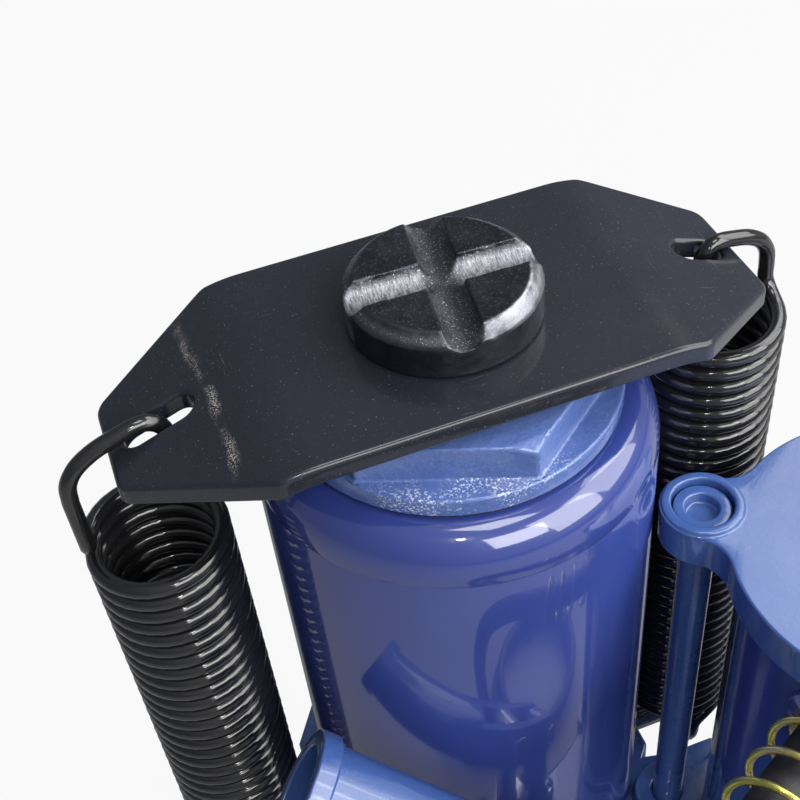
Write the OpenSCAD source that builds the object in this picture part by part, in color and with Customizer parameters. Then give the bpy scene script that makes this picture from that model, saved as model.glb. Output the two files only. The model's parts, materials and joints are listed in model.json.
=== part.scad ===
// Bottle jack worked by a hand pump or by an air motor, with two springs that pull the ram down.
// Millimetres. The origin lies on the ram's axis at the underside of the base, +Z is up,
// +X runs along the spring plate and -Y is the side of the two pumps.

/* [Spring plate] */
// Height of the plate's top face above the floor with the ram down
plate_top_h = 252; // [248:0.5:262]
// Thickness of the plate
plate_t = 6; // [5:0.25:7]
// Width of the plate
plate_w = 75.4; // [70:0.2:80]
// Distance of the plate's left end from the ram's axis, seen from above
plate_left = 89.2; // [88:0.2:91]
// Distance of the plate's right end from the ram's axis, seen from above
plate_right = 84.3; // [83:0.2:86]
// Width of the plate's left end
left_end_w = 30; // [26:0.5:34]
// Width of the plate's right end
right_end_w = 36; // [32:0.5:38]
// Distance of the ends' middles behind the ram's axis
end_y = 3.4; // [2:0.1:5]
// Rounding of the plate's corners
plate_corner = 5; // [1:0.5:7]
// Length of the full width part of the plate
plate_mid_l = 108; // [100:1:116]
// Length of the flat part between the bends
plate_flat_l = 87.6; // [82:0.2:92]
// Angle by which the ends bend down
plate_bend = 20; // [16:0.5:21]
// Inner radius of the bends
plate_bend_r = 34; // [24:1:40]
// Distance of the slots' inner ends from the ram's axis
slot_in = 65.5; // [63:0.5:66]
// Width of the slots
slot_w = 8; // [7:0.25:10]
// Width of plate left outside each slot
slot_margin = 4.4; // [3.5:0.1:5]

/* [Saddle] */
// Diameter of the saddle
saddle_d = 50; // [46:0.5:54]
// Height of the saddle
saddle_h = 12.4; // [11:0.1:16]
// Chamfer round the saddle's top
saddle_chamfer = 3; // [1:0.25:4]
// Width of the cross grooves
groove_w = 9.5; // [7:0.25:12]
// Depth of the cross grooves
groove_depth = 4.5; // [3:0.25:5]
// Direction of the first groove
groove_turn = -2.5; // [-20:0.5:20]
// Direction of the second groove
cross_turn = 82; // [75:0.5:100]

/* [Extension screw] */
// Diameter of the extension screw
screw_d = 34; // [30:0.5:35]
// Length of the screw below the saddle
screw_l = 142; // [136:1:150]
// Distance that the screw turns out
screw_travel = 74; // [60:1:78]
// Length of thread in the top of the ram
thread_l = 56; // [50:1:60]
// Diameter of the spigot that carries the saddle
spigot_d = 22; // [16:0.5:26]
// Length of the spigot
spigot_l = 5; // [4:0.25:6]
// Thickness of the stop ring at the foot of the screw
stop_t = 4; // [3:0.25:6]

/* [Ram and cylinder] */
// Diameter of the ram
ram_d = 45; // [43:0.5:48]
// Travel of the ram
ram_stroke = 160; // [140:1:165]
// Bore of the pressure cylinder
cyl_bore = 56; // [52:0.5:60]
// Outside diameter of the pressure cylinder
cyl_od = 70; // [67:0.5:72]
// Depth of the cylinder's seat in the base
cyl_seat_depth = 8; // [6:0.5:10]
// Height of the piston
piston_h = 18; // [16:0.5:24]
// Height of the piston seal
piston_seal_h = 6; // [4:0.25:8]
// Radial depth of the piston seal
piston_seal_depth = 4.5; // [3:0.25:6]

/* [Reservoir] */
// Outside diameter of the reservoir
tank_od = 110.4; // [108:0.2:112]
// Wall of the reservoir
tank_wall = 4; // [3:0.25:5]
// Height of the rounded shoulder
shoulder_h = 14; // [10:0.5:18]
// Depth of the rounded shoulder, measured inwards
shoulder_w = 10.2; // [8:0.2:11]
// Thickness of the gaskets
gasket_t = 1; // [0.5:0.25:1.5]
// Height of the filler plug above the base
filler_h = 152; // [140:1:160]
// Diameter of the filler plug's stem
filler_d = 12; // [10:0.5:16]

/* [Tank nut] */
// Width across the flats of the hexagon
nut_af = 76.7; // [75:0.1:78]
// Height of the hexagon
nut_hex_h = 10.4; // [8.5:0.1:14]
// Diameter of the round flange
nut_flange_d = 91; // [90:0.2:94]
// Thickness of the round flange
nut_flange_t = 5.5; // [4:0.25:7]
// Length of the threaded skirt inside the reservoir
nut_skirt_h = 12; // [8:0.5:20]
// Outside diameter of the skirt
nut_skirt_d = 80; // [78:0.5:82]
// Thickness of the nut's roof over the cylinder
nut_roof = 6; // [5:0.25:7]
// Direction of one corner of the hexagon
nut_turn = -82.5; // [-90:0.5:-60]
// Gap between the nut and the plate with the ram down
nut_gap = 4.1; // [2:0.1:6]

/* [Base] */
// Thickness of the base casting
base_t = 28; // [26:0.5:30]
// Width of the base under the reservoir
base_w = 121; // [119:0.5:123]
// Distance from the ram's axis to the back edge
base_back = 60; // [58:0.5:66]
// Distance from the ram's axis to the front edge
base_front = 122; // [121:0.5:126]
// Corner cut of the base along X
base_cut_x = 16.3; // [14:0.1:20]
// Corner cut of the base along Y
base_cut_y = 25; // [20:0.5:28]
// Height of the pads under the two pumps
pad_h = 6; // [4:0.5:8]
// Distance of the pump deck's left edge from the ram's axis
deck_left = 46; // [44:0.5:52]

/* [Return springs] */
// Distance of the left spring's axis from the ram's axis
spring_left = 84.2; // [83.5:0.1:86]
// Distance of the right spring's axis from the ram's axis
spring_right = 80.2; // [79.5:0.1:82]
// Distance of the spring line behind the ram's axis
spring_y = 2.5; // [0:0.1:4]
// Outside diameter of the coils
spring_od = 39.7; // [38:0.1:41]
// Diameter of the spring wire
spring_wire = 4.5; // [4:0.1:4.8]
// Rise of the coils in one turn
spring_pitch = 5.3; // [5.2:0.1:5.8]
// Distance of the left coil's top below the plate's top face
left_coil_drop = 46.5; // [44:0.5:50]
// Distance of the right coil's top below the plate's top face
right_coil_drop = 33.5; // [32:0.5:38]
// Height of the bends where the wire leaves the coil
hook_rise = 6.5; // [6:0.5:8]
// Part of a turn that these bends take
hook_sweep = 30; // [25:1:40]
// Turn of the hook's outer leg about the spring's axis
hook_turn = 10; // [0:1:15]
// Distance of the hooks' inner legs from the ram's axis
hook_in = 74; // [73:0.1:75]
// Distance of the hooks' tops below the plate's top face, at the middle of the wire
hook_drop = 8.3; // [7.5:0.1:8.5]
// Height of the hooks' bends over the plate's edge
hook_h = 16.2; // [15.5:0.1:17]
// Diameter of the anchor bolts
anchor_d = 10; // [8:0.5:12]
// Height of the anchor bolts above the floor
anchor_z = 15; // [14:0.5:17]

/* [Hand pump] */
// Place of the pump along X
pump_x = -13; // [-14:0.5:-8]
// Place of the pump along Y
pump_y = -89; // [-90:0.5:-86]
// Direction of the socket's mouth in plan
pump_turn = 147; // [144:0.5:150]
// Tilt of the socket above level at rest
socket_tilt = 29; // [27:0.5:31]
// Height of the plunger pin at rest
pin_z = 110; // [107:0.5:114]
// Distance between the plunger pin and the fulcrum pin
pump_arm = 32; // [31:0.5:34]
// Diameter of the pump plunger
plunger_d = 13; // [11:0.25:14]
// Outside diameter of the pump barrel
barrel_d = 30; // [26:0.5:31]
// Height of the pump barrel above the base
barrel_h = 29; // [24:0.5:30]
// Height of the gland nut
gland_h = 8; // [6:0.5:9]
// Diameter of the linkage pins
pin_d = 10; // [8:0.5:11]
// Outside diameter of the socket tube
socket_od = 32; // [30:0.5:34]
// Bore of the socket tube
socket_bore = 26.5; // [24:0.25:28]
// Distance of the socket's mouth from the plunger pin
socket_reach = 78; // [74:0.5:90]
// Depth of the socket's bore
socket_depth = 48; // [40:0.5:49]
// Diameter of the band round the mouth
rim_d = 36; // [34.5:0.5:38]
// Width of the band round the mouth
rim_w = 6; // [4:0.5:8]
// Thickness of the fork's cheeks
cheek_t = 6; // [5:0.25:7]
// Gap between the fork's cheeks
cheek_gap = 15; // [14.5:0.25:16]
// Height of the link's lower pin above the base
link_foot_h = 16; // [14:0.5:18]

/* [Air motor] */
// Place of the motor along X
motor_x = 97.5; // [97:0.5:100]
// Place of the motor along Y
motor_y = -72; // [-74:0.5:-71]
// Height of the cover's top face above the floor
motor_h = 190.5; // [186:0.5:196]
// Diameter of the cover
cover_d = 92; // [90:0.5:93]
// Thickness of the cover
cover_t = 12; // [10:0.5:14]
// Outside diameter of the air cylinder
air_od = 82; // [80:0.5:84]
// Wall of the air cylinder
air_wall = 5; // [4:0.25:6]
// Radius of the circle of tie bolts
bolt_circle = 53.3; // [52:0.1:54]
// Direction of the first ear
ear_turn = 140.4; // [136:0.2:142]
// Radius of the ears
ear_r = 11.5; // [10.5:0.25:12]
// Fillet between the ears and the cover
ear_fillet = 10; // [6:0.5:14]
// Height of the raised boss on each ear
ear_boss = 1.5; // [0.5:0.25:2.5]
// Diameter of the tie bolts
bolt_d = 10; // [8:0.5:11]
// Diameter of the tie bolts' heads
bolt_head_d = 16; // [14:0.5:17]
// Height of the air piston
air_piston_h = 18; // [14:0.5:22]
// Travel of the air piston
air_stroke = 40; // [30:1:44]
// Diameter of the air piston's rod
air_rod_d = 14; // [12:0.5:18]

/* [Air hose] */
// Outside diameter of the hose
hose_d = 15; // [14:0.25:15]
// Distance of the hose fitting below the cover's top face
hose_drop = 28.5; // [27:0.5:31]
// Direction in which the hose leaves the motor
hose_turn = 208; // [206:0.5:211]
// Distance of the hose beside the motor's axis
hose_side = 6; // [0:0.5:8]
// Wire of the guard spring round the hose
guard_wire = 2.2; // [1.8:0.1:2.4]
// Radius of the guard spring at the middle of its wire
guard_r = 11.4; // [11:0.1:12]
// Turns of the guard spring
guard_turns = 4; // [3:1:4]
// Pitch of the guard spring
guard_pitch = 10.8; // [9:0.1:11]
// Turns of the coil of hose
loop_turns = 1.75; // [1.75:1:2.75]
// Largest radius of the coil, at the middle of the hose
loop_r = 91; // [90:0.5:94]
// Change of the coil's radius in one turn
loop_step = 16; // [15.5:0.25:17]
// Radius of the valve's body
valve_r = 12; // [11:0.5:13]
// Length of the valve's body
valve_l = 56; // [52:1:64]
// Radius of the valve's inlet thread
inlet_r = 5.7; // [5:0.1:6.5]
// Depth of the valve's inlet thread
inlet_l = 14; // [10:0.5:16]

/* [Hidden] */
// Clearances: running fits, loose fits, and bodies that pass each other
run_gap = 0.05;
loose_gap = 0.25;
clear_gap = 0.5;

// Heights worked out from the plate downwards
ram_top = plate_top_h - plate_t;
plate_low = ram_top - plate_w;
plate_span = plate_w + 3 * plate_t;
nut_top = ram_top - nut_gap;
hex_z = nut_top - nut_hex_h;
flange_z = hex_z - nut_flange_t;
tank_top = flange_z - gasket_t;
cyl_top = nut_top - nut_roof;
cyl_seat = base_t - cyl_seat_depth;
ram_foot = cyl_seat + clear_gap;
piston_z = ram_foot + 1.5;
piston_r = cyl_bore / 2 - run_gap;
ram_spigot_r = cyl_bore / 2 - 13;
relief_r = screw_d / 2 + 1.5;
relief_top = ram_top - thread_l;
relief_foot = relief_top - screw_travel - stop_t - 12;
stop_z = relief_top - screw_travel - stop_t - 1;
screw_foot = min(plate_top_h - screw_l, stop_z - 2);
saddle_z = plate_top_h + 0.2;
tank_r = tank_od / 2;
tank_z = base_t + gasket_t;
pad_z = base_t + pad_h;

// Springs
coil_r = (spring_od - spring_wire) / 2;
hook_top = plate_top_h - hook_drop;
foot_hook_z = anchor_z + coil_r - spring_wire / 2 - anchor_d / 2 - loose_gap;
foot_leg_h = 2;
coil_foot = foot_hook_z + foot_leg_h + hook_rise;
curl_rings = 8;
wire_sides = 6;

// Hand pump linkage, in a frame whose +X points at the socket's mouth
fulcrum = [-pump_arm * cos(socket_tilt), 0, pin_z - pump_arm * sin(socket_tilt)];
link_foot = [fulcrum[0], 0, base_t + link_foot_h];
link_eye_r = 10.5;
link_slack = 2.2;
link_t = cheek_gap - 2;
eye_t = cheek_gap - 1;
eye_r = 11;
gland_top = base_t + barrel_h + gland_h;
plunger_foot = 42;
pump_floor = 16;
barrel_spigot_r = barrel_d / 2 - 4;
clevis_t = 6;
clevis_gap = link_t + 1;
pin_head = 2.5;

// Air motor
air_bore = air_od - 2 * air_wall;
hose_z = motor_h - hose_drop;
air_z = pad_z;
cover_z = motor_h - cover_t;
air_top = cover_z - gasket_t;
spigot_depth = 5;
air_piston_top = hose_z - hose_d / 2;
air_piston_z = air_piston_top - air_piston_h;
air_gland_h = 16;
air_gland_top = air_z + air_gland_h;
air_rod_foot = pump_floor + air_stroke + 6;
bolt_head_h = 8;
bolt_sink = 10;
shuttle_r = air_bore * 0.2;
shuttle_bore = shuttle_r * 0.45;
shuttle_port = shuttle_r * 0.15;
spring_room = air_rod_d * 0.3;
spring_wall = air_rod_d * 0.3;
exhaust_z = motor_h * 0.48;
exhaust_turn = 300;
exhaust_r = 8;
exhaust_l = 12;
exhaust_bore = 3;
exhaust_port = 1.5;
bolt_thread = pad_z - base_t / 2 - 6;
ear_count = 3;
hose_boss_r = 13;
hose_boss_out = air_od / 2 + 2;
fitting_l = 5;
fitting_r = guard_r * cos(180 / curl_rings) - guard_wire / 2 - 0.15;

// Hose: straight through the guard, then these points down to the floor
hose_start = hose_boss_out + fitting_l;
hose_straight = 92;
tie_t = 1.2;
loop_z = hose_d / 2 + tie_t + 0.3;
loop_lift = hose_d + 0.8;
route_top = 155;
route = [
  [3, -128, 154], [-11, -137, 149], [-24, -145, 141], [-34, -153, 130], [-41, -160, 115.5],
  [-46, -167, 100], [-48, -174, 84.5], [-48.5, -181, 69.5], [-48, -187.5, 55.5], [-47, -191.5, 46.5],
  [-46, -197.5, 36], [-45, -205, 26.5], [-43.8, -214.5, 19], [-42.2, -225.5, 13.5], [-40.8, -237, 10.2]
];
route_scale = (hose_z - 60) / (route_top - 60);
hose_points = [for (p = route) [p[0], p[1], p[2] > 60 ? 60 + (p[2] - 60) * route_scale : p[2]]];
loop_start = [-40, -264];
loop_c = [loop_start[0] + loop_r, loop_start[1]];
loop_rings = 24;
tail_y = loop_c[1] + loop_r;
tail_z = loop_z + loop_lift;
tail_start = loop_c[0] - hose_d;
tail_l = 66;
tail_end = tail_start - tail_l;
ferrule_l = 16;
ferrule_r = hose_d / 2 + 1.5;
valve_x = tail_end - ferrule_l;
hex_l = inlet_l + 2;
lever_angle = 10;
lever_l = 68;
lever_t = 3;
lever_w = 16;
lever_x = valve_x - valve_l + 8;
lever_z = 2 * valve_r + 5;
lever_hub_r = 5;
lever_pin_r = 2.5;
stem_reach = 18;
stem_r = 3;
stem_h = 12;

jack_blue = [0.2, 0.28, 0.58];
plate_black = [0.12, 0.13, 0.16];
steel = [0.7, 0.71, 0.73];
zinc = [0.78, 0.72, 0.4];
brass = [0.78, 0.62, 0.3];
rubber = [0.08, 0.08, 0.08];

// Sweeping a round section along points
function unit(v) = v / norm(v);
function tangent(p, i) = unit(p[min(i + 1, len(p) - 1)] - p[max(i - 1, 0)]);
function across(v, t) = unit(v - (v * t) * t);
function side_of(t) = abs(t[2]) < 0.9 ? across([0, 0, 1], t) : across([1, 0, 0], t);
function frames(p) = [
  for (i = 0, n = side_of(tangent(p, 0)); i < len(p);
       i = i + 1, n = i < len(p) ? across(n, tangent(p, i)) : n) n
];

module tube(p, r, sides) {
  n = frames(p);
  rings = [
    for (i = [0 : len(p) - 1], k = [0 : sides - 1])
      let (b = cross(tangent(p, i), n[i]), a = 360 * k / sides)
        p[i] + r * (cos(a) * n[i] + sin(a) * b)
  ];
  last = (len(p) - 1) * sides;
  walls = [
    for (i = [0 : len(p) - 2], k = [0 : sides - 1])
      let (a = i * sides + k, b = i * sides + (k + 1) % sides)
        each [[a, a + sides, b], [b, a + sides, b + sides]]
  ];
  caps = [
    for (k = [1 : sides - 2]) each [[0, k, k + 1], [last, last + k + 1, last + k]]
  ];
  polyhedron(points = rings, faces = concat(walls, caps), convexity = 10);
}

// Least clear distance between parts of a wire that lie further apart than skip points along it
function self_gap(p, d, skip) = min([
  for (i = [0 : len(p) - 1 - skip], j = [i + skip : len(p) - 1]) norm(p[i] - p[j])
]) - d;

// Shapes used by more than one piece
module ring(r_out, r_in, h) {
  difference() {
    cylinder(r = r_out, h = h, $fn = 96);
    translate([0, 0, -1]) cylinder(r = r_in, h = h + 2, $fn = 96);
  }
}

module bar(r, h) { cylinder(r = r, h = h, $fn = 64); }

module centred(r, h) { cylinder(r = r, h = h, center = true, $fn = 64); }

module at_pump() { translate([pump_x, pump_y, 0]) rotate([0, 0, pump_turn]) children(); }

module at_lever() { at_pump() translate([0, 0, pin_z]) rotate([0, -socket_tilt, 0]) children(); }

module at_motor() { translate([motor_x, motor_y, 0]) children(); }

module at_ears() {
  at_motor() for (k = [0 : ear_count - 1])
    rotate([0, 0, ear_turn + 360 * k / ear_count]) translate([bolt_circle, 0, 0]) children();
}

module at_hose() {
  at_motor() translate([0, 0, hose_z]) rotate([0, 90, hose_turn]) translate([0, hose_side, 0]) children();
}

// Disc with bolt ears that blend into it through tangent fillets
fillet_d = cover_d / 2 + ear_fillet;
fillet_e = ear_r + ear_fillet;
fillet_x = (bolt_circle * bolt_circle + fillet_d * fillet_d - fillet_e * fillet_e) / (2 * bolt_circle);
fillet_y = sqrt(fillet_d * fillet_d - fillet_x * fillet_x);

module eared_disc() {
  circle(r = cover_d / 2, $fn = 128);
  for (k = [0 : ear_count - 1]) rotate(ear_turn + 360 * k / ear_count) {
    translate([bolt_circle, 0]) circle(r = ear_r, $fn = 64);
    difference() {
      polygon([[0, 0], [fillet_x, fillet_y], [bolt_circle, 0], [fillet_x, -fillet_y]]);
      for (s = [-1, 1]) translate([fillet_x, s * fillet_y]) circle(r = ear_fillet, $fn = 64);
    }
  }
}

// Base
deck_corner = 12;
motor_reach = motor_y + cover_d / 2;
check_r = 6;
ball_r = 4;
check_places = [[pump_x, pump_y] * 0.68, [motor_x, motor_y] * 0.45];
check_plug_h = 7;
check_spring_h = 4;
check_spring_r = 3.5;
check_seat = 2.5;
ball_z = 1 + check_plug_h + check_spring_h + sqrt(ball_r * ball_r - check_seat * check_seat) + 0.1;
release_y = pump_y;
release_z = base_t / 2;
release_r = 8;
safety_x = 30;
safety_r = 5;

module base_outline() {
  half = base_w / 2;
  web_y = spring_y - spring_od / 2 - 5;
  polygon([
    [-half, base_back - base_cut_y], [-half + base_cut_x, base_back],
    [half - base_cut_x, base_back], [half, base_back - base_cut_y],
    [half, -16], [half - 3.5, -20], [half + 6, web_y], [motor_x - 14, web_y], [motor_x, motor_reach - 14],
    [motor_x, -base_front], [-deck_left + deck_corner, -base_front],
    [-deck_left, -base_front + deck_corner], [-deck_left, -half + 2],
    [-half, -half + (half - deck_left) * 1.4]
  ]);
}

module clevis() {
  for (s = [-1, 1]) translate([link_foot[0], s * (clevis_gap + clevis_t) / 2, 0]) {
    translate([0, 0, link_foot[2]]) rotate([90, 0, 0]) centred(link_eye_r, clevis_t);
    translate([-link_eye_r, -clevis_t / 2, base_t - 1])
      cube([2 * link_eye_r, clevis_t, link_foot_h + 1]);
  }
}

module gallery(p, r) {
  translate([p[0], p[1], release_z]) rotate([0, 90, atan2(-p[1], -p[0])]) bar(r, norm(p));
}

module down_hole(p, r) { translate([p[0], p[1], release_z - r]) bar(r, base_t); }

module base_casting() {
  color(jack_blue) difference() {
    union() {
      linear_extrude(base_t) base_outline();
      at_motor() linear_extrude(pad_z) eared_disc();
      translate([pump_x, pump_y, 0]) bar(barrel_d / 2 + 4, pad_z);
      at_pump() clevis();
    }
    translate([0, 0, cyl_seat]) bar(cyl_od / 2 + loose_gap, cyl_seat_depth + 1);
    down_hole([0, 0], 5);
    gallery([pump_x, pump_y], 2.5);
    gallery([motor_x, motor_y], 3);
    translate([pump_x, pump_y, pump_floor]) bar(barrel_spigot_r + run_gap, pad_z);
    down_hole([pump_x, pump_y], 4);
    at_motor() translate([0, 0, pump_floor]) bar(air_rod_d / 2 + run_gap, pad_z);
    down_hole([motor_x, motor_y], 4.5);
    at_ears() translate([0, 0, pad_z - bolt_thread - 2]) bar(bolt_d / 2 + run_gap, bolt_thread + 3);
    at_pump() translate(link_foot) rotate([90, 0, 0]) centred(pin_d / 2 + run_gap, 60);
    for (s = [-1, 1]) translate([s * base_w / 2, spring_y, anchor_z]) rotate([0, -s * 90, 0])
      translate([0, 0, -1]) bar(anchor_d / 2 + run_gap, 23);
    for (p = check_places) translate([p[0], p[1], -1]) bar(check_r, ball_z + ball_r + 2);
    translate([-deck_left - 1, release_y, release_z]) rotate([0, 90, 0]) bar(release_r + run_gap, 21);
    translate([safety_x, base_back + 1, release_z]) rotate([90, 0, 0]) bar(safety_r + run_gap, 19);
  }
}

module safety_valve_screw() {
  color(steel) translate([safety_x, base_back - 1, release_z]) rotate([90, 0, 0]) difference() {
    bar(safety_r, 16);
    translate([0, 0, -1]) cylinder(r = 3, h = 5, $fn = 6);
  }
}

module check_balls() {
  color(steel) for (p = check_places) translate([p[0], p[1], ball_z]) sphere(r = ball_r, $fn = 48);
}

module check_springs() {
  color(steel) for (p = check_places) translate([p[0], p[1], 1 + check_plug_h])
    ring(check_spring_r, check_seat, check_spring_h);
}

module check_plugs() {
  color(steel) for (p = check_places) translate([p[0], p[1], 1]) difference() {
    bar(check_r - run_gap, check_plug_h);
    translate([0, 0, -1]) cylinder(r = 3, h = 4, $fn = 6);
  }
}

module release_valve() {
  color(steel) translate([-deck_left, release_y, release_z]) rotate([0, 90, 0]) difference() {
    union() {
      translate([0, 0, -2]) bar(release_r, 20);
      translate([0, 0, -16]) bar(release_r + 2, 15.5);
    }
    translate([-2, -15, -17]) cube([4, 30, 7]);
  }
}

module spring_anchor_bolts() {
  color(steel) for (s = [-1, 1])
    translate([s * base_w / 2, spring_y, anchor_z]) rotate([0, s * 90, 0]) {
      reach = (s < 0 ? spring_left : spring_right) - base_w / 2 + spring_wire + 6;
      translate([0, 0, -20]) bar(anchor_d / 2, reach + 20);
      translate([0, 0, reach]) bar(anchor_d / 2 + 3, 5);
    }
}

// Reservoir, cylinder and tank nut
module tank() {
  inner_r = tank_r - tank_wall;
  hole_r = nut_skirt_d / 2 + loose_gap;
  color(jack_blue) difference() {
    rotate_extrude($fn = 128) polygon(concat(
      [[inner_r, tank_z], [tank_r, tank_z]],
      [for (i = [0 : 10]) let (a = 90 * i / 10)
        [tank_r - shoulder_w + shoulder_w * cos(a), tank_top - shoulder_h + shoulder_h * sin(a)]],
      [[hole_r, tank_top], [hole_r, tank_top - tank_wall], [inner_r, tank_top - shoulder_h]]
    ));
    translate([0, tank_r - tank_wall - 2, base_t + filler_h]) rotate([-90, 0, 0])
      bar(filler_d / 2, tank_wall + 4);
  }
}

module tank_gasket() {
  color(rubber) translate([0, 0, base_t]) ring(tank_r - 0.3, tank_r - tank_wall - 1, gasket_t);
}

module tank_seal() {
  color(rubber) translate([0, 0, tank_top])
    ring(nut_flange_d / 2 - 1, nut_skirt_d / 2 + 2 * loose_gap, gasket_t);
}

module filler_plug() {
  color(rubber) difference() {
    translate([0, tank_r - tank_wall - 2, base_t + filler_h]) rotate([-90, 0, 0]) {
      bar(filler_d / 2 - run_gap, tank_wall + 3);
      translate([0, 0, tank_wall + 1]) bar(filler_d / 2 + 3, 4);
    }
    translate([0, 0, base_t + filler_h - 20]) difference() {
      bar(tank_r + run_gap, 40);
      rotate([-90, 0, 0]) translate([0, -20, 0]) bar(filler_d / 2 - run_gap / 2, tank_r + 9);
    }
  }
}

wiper_z = cyl_top + 1.5;
wiper_h = 3;
wiper_depth = 3.5;

module tank_nut() {
  chamfer = 2.2;
  corner_r = nut_af / sqrt(3);
  color(jack_blue) difference() {
    union() {
      translate([0, 0, flange_z - nut_skirt_h]) bar(nut_skirt_d / 2, nut_skirt_h + 1);
      translate([0, 0, flange_z]) cylinder(r = nut_flange_d / 2, h = nut_flange_t, $fn = 128);
      intersection() {
        translate([0, 0, hex_z]) rotate([0, 0, nut_turn]) cylinder(r = corner_r, h = nut_hex_h, $fn = 6);
        rotate_extrude($fn = 128) polygon([
          [0, hex_z - 1], [corner_r + 1, hex_z - 1], [corner_r + 1, nut_top - chamfer - 0.6],
          [corner_r - 3.2, nut_top], [0, nut_top]
        ]);
      }
    }
    translate([0, 0, flange_z - nut_skirt_h - 1])
      bar(cyl_od / 2 + run_gap, cyl_top - flange_z + nut_skirt_h + 1);
    bar(ram_d / 2 + run_gap, nut_top + 1);
    translate([0, 0, wiper_z]) bar(ram_d / 2 + wiper_depth, wiper_h);
  }
}

module ram_wiper() {
  color(rubber) translate([0, 0, wiper_z + 0.1])
    ring(ram_d / 2 + wiper_depth - run_gap, ram_d / 2 + 1.2 * run_gap, wiper_h - 0.2);
}

module pressure_cylinder() {
  color(steel) translate([0, 0, cyl_seat + gasket_t])
    ring(cyl_od / 2, cyl_bore / 2, cyl_top - cyl_seat - gasket_t);
}

module cylinder_washer() {
  color(brass) translate([0, 0, cyl_seat]) ring(cyl_od / 2, cyl_bore / 2 + 1, gasket_t);
}

// Ram and what it carries
module ram() {
  color(steel) difference() {
    union() {
      translate([0, 0, ram_foot]) bar(ram_spigot_r, piston_z - ram_foot + piston_h + 1);
      translate([0, 0, piston_z + piston_h]) bar(ram_d / 2, ram_top - piston_z - piston_h);
    }
    translate([0, 0, relief_top - 1]) bar(screw_d / 2 + 0.08, thread_l + 2);
    translate([0, 0, relief_foot]) bar(relief_r, relief_top - relief_foot);
  }
}

seal_z = piston_z + (piston_h - piston_seal_h) / 2;

module piston() {
  color(steel) difference() {
    translate([0, 0, piston_z]) ring(piston_r, ram_spigot_r + run_gap, piston_h);
    translate([0, 0, seal_z]) ring(piston_r + 1, piston_r - piston_seal_depth, piston_seal_h);
  }
}

module piston_seal() {
  color(rubber) translate([0, 0, seal_z + 0.1])
    ring(piston_r, piston_r - piston_seal_depth + run_gap, piston_seal_h - 0.2);
}

module plate_outline() {
  m = plate_mid_l / 2;
  w = plate_w / 2;
  a = left_end_w / 2;
  b = right_end_w / 2;
  offset(r = plate_corner, $fn = 48) offset(delta = -plate_corner) polygon([
    [-plate_left, end_y - a], [-m, -w], [m, -w], [plate_right, end_y - b],
    [plate_right, end_y + b], [m, w], [-m, w], [-plate_left, end_y + a]
  ]);
}

module bent_half() {
  flat = plate_flat_l / 2;
  wing = max(plate_left, plate_right);
  translate([-1, -plate_w / 2, ram_top]) cube([flat + 1, plate_w, plate_t]);
  translate([flat, 0, ram_top - plate_bend_r]) {
    rotate([90, 0, 0]) rotate([0, 0, 90 - plate_bend]) rotate_extrude(angle = plate_bend, $fn = 128)
      translate([plate_bend_r, -plate_w / 2]) square([plate_t, plate_w]);
    rotate([0, plate_bend, 0]) translate([0, -plate_w / 2, plate_bend_r]) cube([wing, plate_w, plate_t]);
  }
}

module slot_cut(plate_end) {
  r = slot_w / 2;
  slot_out = plate_end - slot_margin;
  translate([slot_in + r, spring_y, plate_low]) bar(r, plate_span);
  translate([slot_out - r, spring_y, plate_low]) bar(r, plate_span);
  translate([slot_in + r, spring_y - r, plate_low]) cube([slot_out - slot_in - slot_w, slot_w, plate_span]);
}

module spring_plate() {
  color(plate_black) difference() {
    intersection() {
      union() {
        bent_half();
        mirror([1, 0, 0]) bent_half();
      }
      translate([0, 0, plate_low]) linear_extrude(plate_span) plate_outline();
    }
    translate([0, 0, ram_top - 1]) bar(screw_d / 2 + 0.7, plate_t + 2);
    slot_cut(plate_right);
    mirror([1, 0, 0]) slot_cut(plate_left);
  }
}

module stop_ring() {
  color(steel) translate([0, 0, stop_z]) ring(relief_r - 0.3, screw_d / 2 - 3 + run_gap, stop_t);
}

module extension_screw() {
  color(steel) difference() {
    union() {
      translate([0, 0, screw_foot]) bar(screw_d / 2, saddle_z - screw_foot);
      translate([0, 0, saddle_z - 1]) bar(spigot_d / 2, spigot_l + 1);
    }
    translate([0, 0, stop_z - run_gap]) ring(screw_d / 2 + 1, screw_d / 2 - 3, stop_t + 2 * run_gap);
  }
}

module saddle() {
  top = saddle_z + saddle_h;
  groove_r = (groove_w * groove_w / 4 + groove_depth * groove_depth) / (2 * groove_depth);
  color(plate_black) difference() {
    rotate_extrude($fn = 128) polygon([
      [0, saddle_z], [saddle_d / 2, saddle_z], [saddle_d / 2, top - saddle_chamfer],
      [saddle_d / 2 - saddle_chamfer, top], [0, top]
    ]);
    for (a = [groove_turn, cross_turn]) rotate([0, 0, a])
      translate([0, 0, top - groove_depth + groove_r]) rotate([0, 90, 0]) centred(groove_r, saddle_d + 4);
    translate([0, 0, saddle_z - 1]) bar(spigot_d / 2 + run_gap, spigot_l + 1 + run_gap);
  }
}

// Return springs: foot hook, coil and head hook in one wire, about the spring's own axis
foot_hook = concat(
  [[0, coil_r, foot_hook_z + 5]],
  [for (a = [0 : 22.5 : 180]) [0, coil_r * cos(a), foot_hook_z - coil_r * sin(a)]],
  [for (s = [0 : 0.25 : 1]) let (a = -90 + hook_sweep * (1 - cos(90 * s)))
    [coil_r * cos(a), coil_r * sin(a), foot_hook_z + foot_leg_h + hook_rise * sin(90 * s)]]
);

// Share of the way from the inner leg to the outer one, and drop below the hook's top
hook_shape = [
  [0.97, 10.7], [0.86, 6.2], [0.68, 3.1], [0.47, 1.3], [0.25, 0],
  [0.12, 0.7], [0.02, 3.7], [0, 7.7], [0, 14.7]
];

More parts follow.
